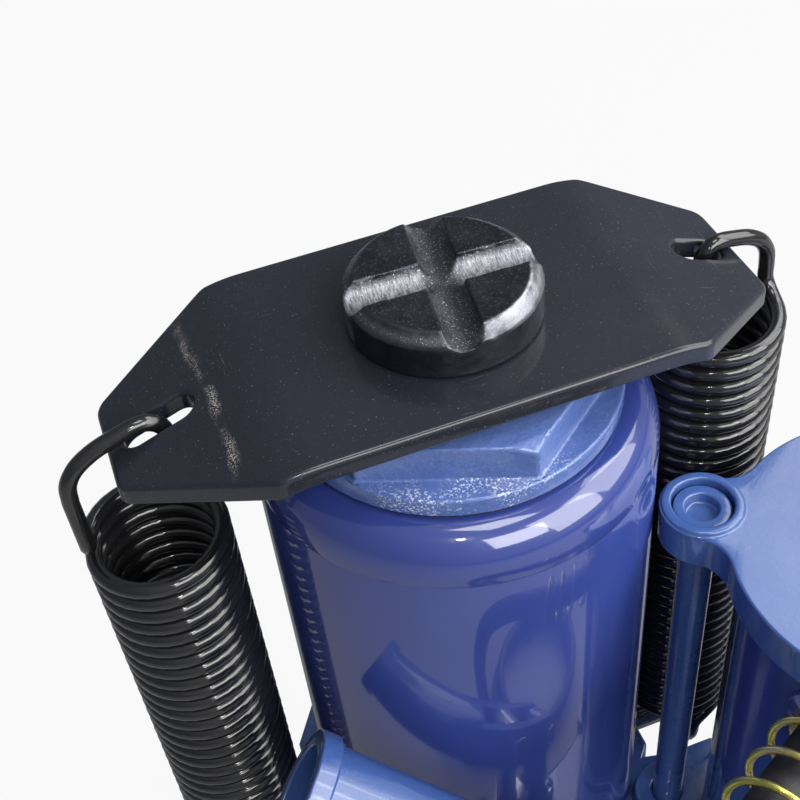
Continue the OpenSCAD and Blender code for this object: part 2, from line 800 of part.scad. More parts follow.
function curl(top) = let (
  start = hook_sweep - 90,
  part = hook_turn - hook_sweep - start,
  whole = part + 360 * round((top - coil_foot) / spring_pitch - part / 360),
  steps = round(whole / 360 * curl_rings)
) [
  for (i = [1 : steps]) let (a = start + whole * i / steps)
    [coil_r * cos(a), coil_r * sin(a), coil_foot + (top - coil_foot) * i / steps]
];

function head_hook(top, reach) = let (
  outer = [coil_r * cos(hook_turn), coil_r * sin(hook_turn)],
  inner = [-reach, 0]
) concat(
  [for (s = [0.25 : 0.25 : 1]) let (a = hook_turn - hook_sweep + hook_sweep * sin(90 * s))
    [coil_r * cos(a), coil_r * sin(a), top + hook_rise * (1 - cos(90 * s))]],
  [[outer[0], outer[1], max(hook_top - hook_h, top + hook_rise + 1)]],
  [for (h = hook_shape) let (q = inner + (outer - inner) * h[0]) [q[0], q[1], hook_top - h[1]]]
);

function spring_path(top, reach) = concat(foot_hook, curl(top), head_hook(top, reach));

left_path = spring_path(plate_top_h - left_coil_drop, spring_left - hook_in);
right_path = spring_path(plate_top_h - right_coil_drop, spring_right - hook_in);
echo(return_spring_self_gap = min(self_gap(left_path, spring_wire, 6), self_gap(right_path, spring_wire, 6)));

module left_return_spring() {
  color(plate_black) translate([-spring_left, spring_y, 0]) rotate([0, 0, 180])
    tube(left_path, spring_wire / 2, wire_sides);
}

module right_return_spring() {
  color(plate_black) translate([spring_right, spring_y, 0]) tube(right_path, spring_wire / 2, wire_sides);
}

// Hand pump
module pump_barrel() {
  color(jack_blue) translate([pump_x, pump_y, 0]) difference() {
    union() {
      translate([0, 0, pump_floor + clear_gap]) bar(barrel_spigot_r, pad_z - pump_floor);
      translate([0, 0, pad_z]) bar(barrel_d / 2, barrel_h - pad_h);
    }
    bar(plunger_d / 2 + run_gap, gland_top);
  }
}

module pump_gland() {
  color(steel) translate([pump_x, pump_y, base_t + barrel_h]) difference() {
    rotate([0, 0, pump_turn + 30]) cylinder(r = barrel_d / 2, h = gland_h, $fn = 6);
    translate([0, 0, -1]) bar(plunger_d / 2 + run_gap, gland_h + 2);
  }
}

module pump_plunger() {
  color(steel) at_pump() difference() {
    union() {
      translate([0, 0, plunger_foot]) bar(plunger_d / 2, pin_z - plunger_foot);
      translate([0, 0, pin_z]) rotate([90, 0, 0]) centred(eye_r, eye_t);
    }
    translate([0, 0, pin_z]) rotate([90, 0, 0]) centred(pin_d / 2 + run_gap, eye_t + 2);
  }
}

fork_w = cheek_gap + 2 * cheek_t;

module headed_pin(r, l) {
  centred(r, l);
  for (s = [-1, 1]) translate([0, 0, s * (l + pin_head) / 2]) centred(r + 2, pin_head);
}

module plunger_pin() {
  color(steel) at_lever() rotate([90, 0, 0]) headed_pin(pin_d / 2, fork_w + 2 * clear_gap);
}

module fulcrum_pin() {
  color(steel) at_lever() translate([-pump_arm, 0, 0]) rotate([90, 0, 0])
    headed_pin(pin_d / 2 - 1, fork_w + run_gap);
}

module link_pin() {
  color(steel) at_pump() translate(link_foot) rotate([90, 0, 0])
    headed_pin(pin_d / 2, clevis_gap + 2 * clevis_t + run_gap);
}

// The socket lies along +X of the lever's frame, with the plunger pin at its origin
cheek_r = 11;
socket_floor = socket_reach - socket_depth;
tube_foot = socket_floor - 6;

module handle_socket() {
  color(jack_blue) at_lever() difference() {
    union() {
      translate([tube_foot, 0, 0]) rotate([0, 90, 0]) bar(socket_od / 2, socket_reach - tube_foot);
      translate([socket_reach - rim_w, 0, 0]) rotate([0, 90, 0]) bar(rim_d / 2, rim_w);
      for (s = [-1, 1]) translate([0, s * (cheek_gap + cheek_t) / 2, 0]) {
        translate([-pump_arm, 0, 0]) rotate([90, 0, 0]) centred(cheek_r, cheek_t);
        translate([-pump_arm, -cheek_t / 2, -cheek_r])
          cube([pump_arm + tube_foot + 1, cheek_t, 2 * cheek_r]);
      }
    }
    translate([socket_floor, 0, 0]) rotate([0, 90, 0]) bar(socket_bore / 2, socket_depth + 1);
    rotate([90, 0, 0]) centred(pin_d / 2 + run_gap, fork_w + 2);
    translate([-pump_arm, 0, 0]) rotate([90, 0, 0]) centred(pin_d / 2 - 1 + run_gap, fork_w + 2);
  }
}

module fulcrum_link() {
  color(jack_blue) at_pump() difference() {
    union() {
      for (p = [fulcrum, link_foot]) translate(p) rotate([90, 0, 0]) centred(link_eye_r - 0.5, link_t);
      translate([fulcrum[0] - 8, -link_t / 2, link_foot[2]])
        cube([16, link_t, fulcrum[2] - link_foot[2]]);
    }
    translate(link_foot) rotate([90, 0, 0]) centred(pin_d / 2 + run_gap, link_t + 2);
    translate(fulcrum) rotate([90, 0, 0]) centred(pin_d / 2 - 1 + link_slack, link_t + 2);
  }
}

// Air motor
module motor_cylinder() {
  color(jack_blue) difference() {
    union() {
      at_motor() translate([0, 0, air_z]) bar(air_od / 2, air_top - air_z);
      at_hose() bar(hose_boss_r, hose_boss_out);
    }
    at_motor() translate([0, 0, air_z - 1]) bar(air_bore / 2, air_top - air_z + 2);
    at_hose() bar(4, hose_boss_out + 1);
    at_motor() translate([0, 0, exhaust_z]) rotate([0, 90, exhaust_turn]) bar(exhaust_bore + 2, air_od);
  }
}

module motor_gasket() {
  color(rubber) at_motor() translate([0, 0, air_top]) ring(air_od / 2 - 0.3, air_bore / 2, gasket_t);
}

module motor_cover() {
  color(jack_blue) difference() {
    union() {
      at_motor() translate([0, 0, cover_z]) linear_extrude(cover_t) eared_disc();
      at_ears() translate([0, 0, cover_z]) bar(ear_r - 0.4, cover_t + ear_boss);
      at_motor() translate([0, 0, cover_z - spigot_depth])
        bar(air_bore / 2 - 2 * run_gap, spigot_depth + 1);
    }
    at_ears() translate([0, 0, cover_z - 1]) bar(bolt_d / 2 + loose_gap, cover_t + 4);
    at_ears() translate([0, 0, motor_h + ear_boss - bolt_sink]) bar(bolt_head_d / 2 + 0.5, bolt_sink + 1);
  }
}

module motor_tie_bolts() {
  head_z = motor_h + ear_boss - bolt_sink;
  color(jack_blue) at_ears() difference() {
    union() {
      translate([0, 0, pad_z - bolt_thread]) bar(bolt_d / 2, head_z - pad_z + bolt_thread + 1);
      translate([0, 0, head_z]) bar(bolt_head_d / 2, bolt_head_h);
    }
    translate([0, 0, head_z + bolt_head_h - 3.5]) bar(bolt_head_d * 0.29, bolt_head_h);
  }
}

module motor_gland() {
  color(brass) at_motor() translate([0, 0, air_z])
    ring(air_bore / 2 - run_gap, air_rod_d / 2 + run_gap, air_gland_h);
}

module shuttle_valve() {
  foot = air_piston_top + 0.3;
  shuttle_l = cover_z - spigot_depth - foot;
  color(brass) at_motor() translate([0, 0, foot]) difference() {
    bar(shuttle_r, shuttle_l);
    translate([0, 0, -1]) bar(shuttle_bore, shuttle_l * 0.5);
    for (a = [0 : 90 : 270]) translate([0, 0, shuttle_l * 0.3]) rotate([0, 90, a])
      translate([0, 0, shuttle_bore * 0.8]) bar(shuttle_port, shuttle_r);
  }
}

air_ring_h = 5;
air_ring_depth = 4;
air_ring_z = air_piston_z + (air_piston_h - air_ring_h) / 2;

module air_piston() {
  r = air_bore / 2 - 2 * run_gap;
  color(steel) at_motor() difference() {
    union() {
      translate([0, 0, air_piston_z]) bar(r, air_piston_h);
      translate([0, 0, air_rod_foot]) bar(air_rod_d / 2, air_piston_z - air_rod_foot + 1);
    }
    translate([0, 0, air_ring_z]) ring(r + 1, r - air_ring_depth, air_ring_h);
  }
}

module air_piston_ring() {
  r = air_bore / 2 - 2 * run_gap;
  color(rubber) at_motor() translate([0, 0, air_ring_z + 0.1])
    ring(r, r - air_ring_depth + run_gap, air_ring_h - 0.2);
}

module motor_spring() {
  color(steel) at_motor() translate([0, 0, air_gland_top])
    ring(air_rod_d / 2 + spring_room + spring_wall, air_rod_d / 2 + spring_room,
      air_piston_z - air_gland_top);
}

module exhaust_muffler() {
  color(brass) at_motor() translate([0, 0, exhaust_z]) rotate([0, 90, exhaust_turn]) difference() {
    union() {
      translate([0, 0, air_bore / 2 + 1]) bar(exhaust_bore + 2 - run_gap, air_wall + exhaust_l / 2);
      translate([0, 0, air_od / 2 + 0.3]) bar(exhaust_r, exhaust_l);
    }
    translate([0, 0, air_bore / 2]) bar(exhaust_bore, air_wall + exhaust_l * 0.75);
    for (a = [0 : 90 : 270]) rotate([0, 0, a])
      translate([exhaust_bore * 0.83, 0, air_od / 2 + exhaust_l * 0.55]) rotate([0, 90, 0])
        bar(exhaust_port, exhaust_r);
  }
}

// Air hose and its valve
module hose_fitting() {
  color(brass) at_hose() difference() {
    union() {
      translate([0, 0, air_od / 2 - 3]) bar(4 - run_gap, hose_boss_out - air_od / 2 + 4);
      translate([0, 0, hose_boss_out]) bar(fitting_r, fitting_l);
    }
    translate([0, 0, air_od / 2 - 4]) bar(2, 20);
  }
}

guard_steps = guard_turns * curl_rings;
guard_path = [
  for (i = [0 : guard_steps]) let (a = 360 * i / curl_rings)
    [guard_r * cos(a), guard_r * sin(a),
     hose_boss_out + guard_wire / 2 + 0.1 + guard_pitch * i / curl_rings]
];
echo(hose_guard_self_gap = self_gap(guard_path, guard_wire, curl_rings - 2));

module hose_guard() { color(zinc) at_hose() tube(guard_path, guard_wire / 2, wire_sides); }

function out_of_motor(r) = [
  motor_x + r * cos(hose_turn) - hose_side * sin(hose_turn),
  motor_y + r * sin(hose_turn) + hose_side * cos(hose_turn),
  hose_z
];
hose_sides = 10;
hose_path = concat(
  [for (r = [hose_start : (hose_straight - hose_start) / 3 : hose_straight + 0.1]) out_of_motor(r)],
  hose_points,
  [for (d = [2, 0.2]) [loop_start[0], loop_start[1] + hose_d + d, loop_z]]
);

module air_hose() { color(rubber) tube(hose_path, hose_d / 2, hose_sides); }

// The coil runs in, climbs a layer in the half turn where it reverses, and runs out again
loop_mid = loop_turns / 2;
function loop_radius(t) = loop_r - loop_step * (loop_mid - abs(t - loop_mid));
function climb(t) = let (s = min(max((t - loop_mid) * 2 + 0.5, 0), 1)) s * s * (3 - 2 * s);
loop_path = concat(
  [for (d = [1, 0.5]) [loop_start[0], loop_start[1] + hose_d * d, loop_z]],
  [for (i = [0 : loop_turns * loop_rings])
    let (t = i / loop_rings, a = 180 + 360 * t, r = loop_radius(t))
      [loop_c[0] + r * cos(a), loop_c[1] + r * sin(a), loop_z + loop_lift * climb(t)]],
  [for (d = [0.5, 1]) [loop_c[0] - hose_d * d, tail_y, tail_z]]
);
echo(hose_coil_self_gap = self_gap(loop_path, hose_d, round(loop_rings * 0.7)));

module hose_coil() { color(rubber) tube(loop_path, hose_d / 2, wire_sides); }

// The tail comes down from the coil's upper layer to the valve in one easy double bend
function fall(s) = s < 0.5 ? 2 * s * s : 1 - 2 * (1 - s) * (1 - s);
tail_path = [
  for (x = [0.2, 4, 14, 22, 32.5, 43, 51, 61, tail_l - 0.1])
    let (s = min(max((x - 4) / (tail_l - 9), 0), 1))
      [tail_start - x, tail_y, tail_z + (valve_r - tail_z) * fall(s)]
];

module hose_tail() { color(rubber) tube(tail_path, hose_d / 2, hose_sides); }

strap_turns = [0.5, 0.25];

module coil_straps() {
  w = 10;
  color(rubber) for (t = strap_turns) translate([loop_c[0], loop_c[1], 0]) rotate([0, 0, 180 + 360 * t]) {
    r_in = min(loop_radius(t), loop_radius(t + 1)) - hose_d / 2 - 0.6;
    r_out = max(loop_radius(t), loop_radius(t + 1)) + hose_d / 2 + 0.6;
    h = loop_z + loop_lift + hose_d / 2 + 0.4;
    difference() {
      translate([r_in - tie_t, -w / 2, 0]) cube([r_out - r_in + 2 * tie_t, w, h + tie_t]);
      translate([r_in, -w / 2 - 1, tie_t]) cube([r_out - r_in, w + 2, h - tie_t]);
    }
  }
}

module along_valve(x) { translate([x, tail_y, valve_r]) rotate([0, -90, 0]) children(); }

module hose_ferrule() {
  color(brass) along_valve(tail_end) bar(ferrule_r, ferrule_l);
}

module valve_body() {
  color(steel) difference() {
    union() {
      along_valve(valve_x) bar(valve_r, valve_l);
      along_valve(valve_x - valve_l) cylinder(r = valve_r - 0.4, h = hex_l, $fn = 6);
      for (s = [-1, 1]) translate([lever_x, tail_y + s * (lever_w / 2 + 2), 0]) {
        translate([0, 0, lever_z]) rotate([90, 0, 0]) centred(lever_hub_r, 3);
        translate([-lever_hub_r, -1.5, valve_r]) cube([2 * lever_hub_r, 3, lever_z - valve_r]);
      }
    }
    along_valve(valve_x - valve_l - hex_l + inlet_l) bar(inlet_r, inlet_l + 1);
    along_valve(valve_x + 1) bar(3.5, valve_l);
    translate([lever_x, tail_y, lever_z]) rotate([90, 0, 0]) centred(lever_pin_r + run_gap, 40);
    translate([lever_x + stem_reach, tail_y, valve_r]) bar(stem_r + run_gap, 2 * valve_r);
  }
}

module lever_pin() {
  color(steel) translate([lever_x, tail_y, lever_z]) rotate([90, 0, 0])
    centred(lever_pin_r, lever_w + 8);
}

module valve_lever() {
  color(zinc) translate([lever_x, tail_y, lever_z]) rotate([0, -lever_angle, 0]) difference() {
    union() {
      rotate([90, 0, 0]) centred(lever_hub_r - 0.5, lever_w);
      translate([0, -lever_w / 2, lever_hub_r - 0.5 - lever_t]) cube([lever_l, lever_w, lever_t]);
    }
    rotate([90, 0, 0]) centred(lever_pin_r + run_gap, lever_w + 2);
  }
}

// The stem's head stands just under the lever
stem_top = lever_z + (lever_hub_r - 0.5 - lever_t) + (stem_reach - stem_r) * tan(lever_angle) - 0.4;

module valve_stem() {
  color(brass) translate([lever_x + stem_reach, tail_y, stem_top - stem_h]) bar(stem_r, stem_h);
}

base_casting();
tank();
tank_gasket();
tank_seal();
tank_nut();
ram_wiper();
pressure_cylinder();
cylinder_washer();
filler_plug();
safety_valve_screw();
check_balls();
check_springs();
check_plugs();
spring_anchor_bolts();
left_return_spring();
right_return_spring();
ram();
piston();
piston_seal();
spring_plate();
stop_ring();
extension_screw();
saddle();
pump_barrel();
pump_gland();
pump_plunger();
plunger_pin();
handle_socket();
fulcrum_pin();
fulcrum_link();
link_pin();
release_valve();
motor_cylinder();
motor_gasket();
motor_cover();
motor_tie_bolts();
motor_gland();
shuttle_valve();
air_piston();
air_piston_ring();
motor_spring();
exhaust_muffler();
hose_fitting();
hose_guard();
air_hose();
hose_coil();
hose_tail();
coil_straps();
hose_ferrule();
valve_body();
valve_lever();
lever_pin();
valve_stem();
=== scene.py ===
"""Dresses the bottle jack: enamel, worn black plate, springs, hose and studio."""

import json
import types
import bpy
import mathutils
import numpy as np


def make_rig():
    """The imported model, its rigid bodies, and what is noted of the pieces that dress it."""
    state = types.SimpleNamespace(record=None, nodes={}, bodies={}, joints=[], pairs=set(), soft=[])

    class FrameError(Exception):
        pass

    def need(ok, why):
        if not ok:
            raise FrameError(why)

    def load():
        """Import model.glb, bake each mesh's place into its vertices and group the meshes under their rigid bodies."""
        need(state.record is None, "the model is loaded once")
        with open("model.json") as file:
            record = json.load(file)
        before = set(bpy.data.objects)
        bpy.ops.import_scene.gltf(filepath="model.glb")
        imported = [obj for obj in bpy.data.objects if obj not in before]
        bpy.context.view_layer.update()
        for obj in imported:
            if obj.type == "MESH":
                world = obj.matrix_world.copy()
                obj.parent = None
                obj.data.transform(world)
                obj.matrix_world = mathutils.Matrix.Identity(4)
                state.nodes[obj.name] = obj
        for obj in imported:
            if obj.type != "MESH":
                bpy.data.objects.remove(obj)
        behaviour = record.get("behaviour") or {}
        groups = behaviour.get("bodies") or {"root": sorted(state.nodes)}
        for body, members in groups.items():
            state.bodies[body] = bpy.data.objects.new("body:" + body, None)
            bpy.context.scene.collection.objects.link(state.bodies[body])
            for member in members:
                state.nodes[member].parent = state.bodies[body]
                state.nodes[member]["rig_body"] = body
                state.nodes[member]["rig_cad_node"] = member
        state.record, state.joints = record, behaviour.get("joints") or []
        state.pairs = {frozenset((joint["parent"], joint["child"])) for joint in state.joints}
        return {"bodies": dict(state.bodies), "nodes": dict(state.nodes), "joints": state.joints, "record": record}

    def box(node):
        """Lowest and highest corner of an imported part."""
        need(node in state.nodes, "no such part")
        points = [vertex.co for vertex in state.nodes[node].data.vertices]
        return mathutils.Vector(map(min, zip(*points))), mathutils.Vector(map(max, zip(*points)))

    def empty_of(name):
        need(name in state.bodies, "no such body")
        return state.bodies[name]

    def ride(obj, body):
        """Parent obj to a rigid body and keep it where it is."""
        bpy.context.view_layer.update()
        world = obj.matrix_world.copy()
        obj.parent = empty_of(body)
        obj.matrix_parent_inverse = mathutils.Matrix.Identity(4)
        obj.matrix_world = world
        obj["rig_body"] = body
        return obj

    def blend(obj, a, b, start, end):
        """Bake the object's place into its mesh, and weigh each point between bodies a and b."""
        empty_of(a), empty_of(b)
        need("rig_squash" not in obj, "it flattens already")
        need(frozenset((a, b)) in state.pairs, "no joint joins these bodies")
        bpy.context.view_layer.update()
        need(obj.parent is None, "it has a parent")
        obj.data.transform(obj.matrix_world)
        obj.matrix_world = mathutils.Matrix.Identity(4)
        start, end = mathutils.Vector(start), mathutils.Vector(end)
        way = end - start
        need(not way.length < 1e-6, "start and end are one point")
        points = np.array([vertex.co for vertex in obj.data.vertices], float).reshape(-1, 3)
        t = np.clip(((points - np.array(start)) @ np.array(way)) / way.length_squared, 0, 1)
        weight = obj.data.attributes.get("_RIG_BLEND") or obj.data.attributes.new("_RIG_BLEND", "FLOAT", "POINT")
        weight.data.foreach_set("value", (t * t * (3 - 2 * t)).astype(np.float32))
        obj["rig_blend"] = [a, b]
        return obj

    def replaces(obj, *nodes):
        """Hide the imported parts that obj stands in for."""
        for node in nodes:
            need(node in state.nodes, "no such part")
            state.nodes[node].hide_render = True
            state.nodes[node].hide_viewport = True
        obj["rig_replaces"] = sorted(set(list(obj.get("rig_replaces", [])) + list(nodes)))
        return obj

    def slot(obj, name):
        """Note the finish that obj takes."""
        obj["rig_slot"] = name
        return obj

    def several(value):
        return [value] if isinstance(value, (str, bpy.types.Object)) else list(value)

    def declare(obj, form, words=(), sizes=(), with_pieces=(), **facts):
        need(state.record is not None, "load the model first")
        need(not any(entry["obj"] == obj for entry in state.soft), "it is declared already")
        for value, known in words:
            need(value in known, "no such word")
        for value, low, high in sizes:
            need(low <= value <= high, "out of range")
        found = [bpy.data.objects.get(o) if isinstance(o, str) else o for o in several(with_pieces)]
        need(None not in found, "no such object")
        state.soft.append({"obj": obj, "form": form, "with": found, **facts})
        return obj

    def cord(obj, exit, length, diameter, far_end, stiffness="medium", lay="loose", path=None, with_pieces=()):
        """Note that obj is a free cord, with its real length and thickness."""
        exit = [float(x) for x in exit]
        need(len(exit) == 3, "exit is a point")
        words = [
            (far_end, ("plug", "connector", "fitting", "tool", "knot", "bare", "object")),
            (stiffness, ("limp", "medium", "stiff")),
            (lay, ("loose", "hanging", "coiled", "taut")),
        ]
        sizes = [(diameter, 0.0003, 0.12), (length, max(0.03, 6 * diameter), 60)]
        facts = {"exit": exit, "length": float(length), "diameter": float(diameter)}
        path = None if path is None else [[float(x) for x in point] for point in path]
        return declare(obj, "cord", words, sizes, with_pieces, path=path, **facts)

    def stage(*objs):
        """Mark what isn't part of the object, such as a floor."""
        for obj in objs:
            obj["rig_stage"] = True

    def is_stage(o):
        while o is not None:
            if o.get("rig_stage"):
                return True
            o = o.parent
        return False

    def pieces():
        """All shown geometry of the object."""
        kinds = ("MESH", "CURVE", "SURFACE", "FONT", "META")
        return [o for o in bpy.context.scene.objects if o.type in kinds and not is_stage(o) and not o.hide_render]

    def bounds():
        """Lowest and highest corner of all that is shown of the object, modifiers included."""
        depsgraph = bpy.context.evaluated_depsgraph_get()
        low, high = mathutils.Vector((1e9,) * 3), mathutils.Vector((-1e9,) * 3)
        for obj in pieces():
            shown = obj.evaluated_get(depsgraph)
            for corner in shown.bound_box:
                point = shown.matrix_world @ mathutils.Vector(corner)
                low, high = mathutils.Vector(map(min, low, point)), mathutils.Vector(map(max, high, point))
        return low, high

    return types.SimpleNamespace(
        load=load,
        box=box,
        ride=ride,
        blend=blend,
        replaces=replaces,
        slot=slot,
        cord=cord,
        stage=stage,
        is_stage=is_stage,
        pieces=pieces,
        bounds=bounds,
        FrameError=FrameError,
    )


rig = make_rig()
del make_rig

bl_info = {
    "name": "Bottle Jack",
    "version": (1, 0, 0),
    "blender": (4, 5, 0),
    "location": "View3D > Sidebar > Jack",
    "description": "Dresses the bottle jack's frame with its finishes, springs and hose",
    "category": "Object",
}

import json
import math
import sys

import bmesh
import bpy
from bpy.props import FloatProperty, FloatVectorProperty, IntProperty, PointerProperty
from mathutils import Matrix, Vector, noise
from mathutils.geometry import interpolate_bezier

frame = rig.load()
CAD_BOX = [list(corner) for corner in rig.bounds()]
MM = 0.001
BODY_OF = {
    node: body
    for body, nodes in frame["record"]["behaviour"]["bodies"].items()
    for node in nodes
}
SLOT_OF = {s["node"]: s["material_slot"] for s in frame["record"]["subparts"]}

# Top of the nut's flange, lower end of the saddle's rough skin, and top of the screw's thread
FLANGE_TOP = 231.5 * MM
SADDLE_LOW = 253.5 * MM
SCREW_TOP = 252 * MM

# Return springs: side, node, distance from the ram's axis, and height of the coil's top
SPRINGS = (
    (1, "right_return_spring", 80.2 * MM, 218.5 * MM),
    (-1, "left_return_spring", 84.2 * MM, 205.5 * MM),
)
SPRING_Y = 2.5 * MM
SPRING_LOW = 34 * MM
# Foot hook: its middle, its leg up to the coil and its free tip
FOOT_Z = 25.1 * MM
FOOT_LEG = 2 * MM
FOOT_TIP = 5 * MM
# Head hook: its inner leg's place and its top, then the bends between the coil and the hooks
HOOK_IN = 74 * MM
HOOK_TOP = 243.7 * MM
HOOK_HEIGHT = 16.2 * MM
HOOK_RISE = 6.5 * MM
HOOK_SWEEP = math.radians(30)
HOOK_TURN = math.radians(10)
# Share of the way from the hook's inner leg to its outer one, and drop below its top in mm
HOOK = [
    (0.97, 10.7), (0.86, 6.2), (0.68, 3.1), (0.47, 1.3), (0.25, 0),
    (0.12, 0.7), (0.02, 3.7), (0, 7.7), (0, 14.7),
]

# Hose outlet at the motor: the motor's axis, the outlet's direction, its offset and its height
MOTOR = Vector((97.5, -72, 0)) * MM
HOSE_TURN = math.radians(208)
HOSE_SIDE = 6 * MM
HOSE_Z = 162 * MM
# Distances of the hose's first points from the motor's axis, then its way to the coil, in mm
OUTLET = (48, 62.7, 77.3, 92)
ROUTE = [
    (3, -128, 154), (-11, -137, 149), (-24, -145, 141), (-34, -153, 130), (-41, -160, 115.5),
    (-46, -167, 100), (-48, -174, 84.5), (-48.5, -181, 69.5), (-48, -187.5, 55.5),
    (-47, -191.5, 46.5), (-46, -197.5, 36), (-45, -205, 26.5), (-43.8, -214.5, 19),
    (-42.2, -225.5, 13.5), (-40.8, -237, 10.2), (-40, -249, 9),
]
# Height up to which the route keeps its own heights, and the outlet's rise above it as drawn
ROUTE_LOW, ROUTE_RISE = 60, 95
# Coil on the floor, in mm: start, radius, step between turns, turns, points in a turn, and heights
LOOP_START = (-40, -264)
LOOP_RADIUS, LOOP_STEP, LOOP_TURNS, LOOP_POINTS = 91, 16, 1.75, 24
LOOP_LOW, LOOP_LIFT = 9.0, 15.8
# Tail from the coil to the valve, in mm: its points, the start of the way and the valve's height
TAIL_X = (-7, 4, 14, 22, 32.5, 43, 51, 61, 66)
TAIL_BACK, TAIL_Z = 15, 12

# Studio: name, turn and rise in degrees, size and distance in metres, power and tint of each lamp
WHITE = (1.0, 1.0, 1.0)
WARM = (1.0, 0.99, 0.97)
COOL = (0.97, 0.98, 1.0)
LAMPS = (
    ("front_window", -80, 32, (0.70, 0.70), 1.5, 9.5, WHITE),
    ("right_window", -50, 30, (0.74, 1.2), 1.5, 13.0, WARM),
    ("side_window", -18, 34, (0.76, 1.2), 1.5, 9.5, WARM),
    ("far_window", 13, 42, (0.68, 1.0), 1.5, 6.0, WHITE),
    ("back_window", 37, 48, (0.40, 0.5), 1.5, 1.8, COOL),
    ("top", -60, 78, (0.5, 0.5), 1.5, 4.0, WHITE),
    ("flash", -109.4, 49, (0.025, 0.025), 0.45, 0.12, WHITE),
)
LAMP_AIM = Vector((0, 0, 0.2))
# Share of plain white that each kind of ray meets on the floor and in the sky
BACKDROP = (("Is Camera Ray", 0.93), ("Is Glossy Ray", 0.06), ("Is Transmission Ray", 0.06))
# Camera of the photograph: its place, the way it looks from, its right hand and its lens in mm
CAMERA_PLACE = (-0.0769, -0.2310, 0.4635)
CAMERA_BACK = (-0.186, -0.685, 0.704)
CAMERA_RIGHT = (0.936, -0.3405, -0.084)
CAMERA_LENS = 57.98


class JackSizes(bpy.types.PropertyGroup):
    """Sizes that the dressing adds to the frame's own."""

    plate_edge: FloatProperty(
        name="Plate rounding", description="Roll of the punched plate's edges",
        default=1.3 * MM, min=0.2 * MM, max=1.5 * MM, unit="LENGTH")
    edge: FloatProperty(
        name="Edge rounding", description="Rounding of the pump's and the motor's edges",
        default=0.7 * MM, min=0.1 * MM, max=2 * MM, unit="LENGTH")
    cast_edge: FloatProperty(
        name="Casting rounding", description="Rounding of the base's edges",
        default=1.3 * MM, min=0.2 * MM, max=3 * MM, unit="LENGTH")
    small_edge: FloatProperty(
        name="Small rounding", description="Rounding of pins, screws and fittings",
        default=0.4 * MM, min=0.05 * MM, max=1 * MM, unit="LENGTH")
    coil_radius: FloatProperty(
        name="Coil radius", description="Radius of the return springs at the middle of the wire",
        default=17.6 * MM, min=10 * MM, max=30 * MM, unit="LENGTH")
    spring_wire: FloatProperty(
        name="Spring wire", description="Diameter of the return springs' wire",
        default=4.5 * MM, min=2 * MM, max=6 * MM, unit="LENGTH")
    spring_pitch: FloatProperty(
        name="Spring pitch", description="Rise of the return springs in one turn",
        default=5.3 * MM, min=3 * MM, max=12 * MM, unit="LENGTH")
    curl_points: IntProperty(
        name="Points in a curl", description="Points along the wire in one turn",
        default=32, min=12, max=64)
    hose: FloatProperty(
        name="Hose", description="Outside diameter of the air hose",
        default=15 * MM, min=8 * MM, max=20 * MM, unit="LENGTH")
    guard_radius: FloatProperty(
        name="Guard radius", description="Radius of the hose guard at the middle of its wire",
        default=11.4 * MM, min=8 * MM, max=16 * MM, unit="LENGTH")
    guard_wire: FloatProperty(
        name="Guard wire", description="Diameter of the hose guard's wire",
        default=2.2 * MM, min=1 * MM, max=4 * MM, unit="LENGTH")
    lead: FloatProperty(
        name="Screw lead", description="Rise of the extension screw in one turn",
        default=6 * MM, min=2 * MM, max=12 * MM, unit="LENGTH")


class JackColours(bpy.types.PropertyGroup):
    """Colours of the jack's finishes, as linear values."""

    enamel: FloatVectorProperty(
        name="Enamel", description="Blue of the reservoir and the cylinders",
        default=(0.032, 0.053, 0.240), subtype="COLOR", size=3, min=0, max=1)
    casting: FloatVectorProperty(
        name="Castings", description="Paler blue of the enamel over castings",
        default=(0.047, 0.106, 0.315), subtype="COLOR", size=3, min=0, max=1)
    plate: FloatVectorProperty(
        name="Plate", description="Blue-black of the spring plate",
        default=(0.0175, 0.0195, 0.0285), subtype="COLOR", size=3, min=0, max=1)
    spring: FloatVectorProperty(
        name="Springs", description="Black of the return springs",
        default=(0.010, 0.010, 0.0105), subtype="COLOR", size=3, min=0, max=1)
    saddle: FloatVectorProperty(
        name="Saddle", description="Blackened steel of the saddle",
        default=(0.034, 0.036, 0.046), subtype="COLOR", size=3, min=0, max=1)
    steel: FloatVectorProperty(
        name="Steel", description="Ground steel of the ram and the pins",
        default=(0.50, 0.51, 0.53), subtype="COLOR", size=3, min=0, max=1)
    zinc: FloatVectorProperty(
        name="Zinc", description="Yellow zinc of the hose guard",
        default=(0.62, 0.56, 0.16), subtype="COLOR", size=3, min=0, max=1)
    brass: FloatVectorProperty(
        name="Brass", description="Brass of the fittings",
        default=(0.62, 0.44, 0.16), subtype="COLOR", size=3, min=0, max=1)
    rubber: FloatVectorProperty(
        name="Rubber", description="Black of the hose and the seals",
        default=(0.012, 0.012, 0.013), subtype="COLOR", size=3, min=0, max=1)
    alloy: FloatVectorProperty(
        name="Alloy", description="Satin alloy of the air valve",
        default=(0.56, 0.57, 0.59), subtype="COLOR", size=3, min=0, max=1)


def tinted(colour, factor):
    return tuple(min(1.0, c * factor) for c in colour) + (1.0,)


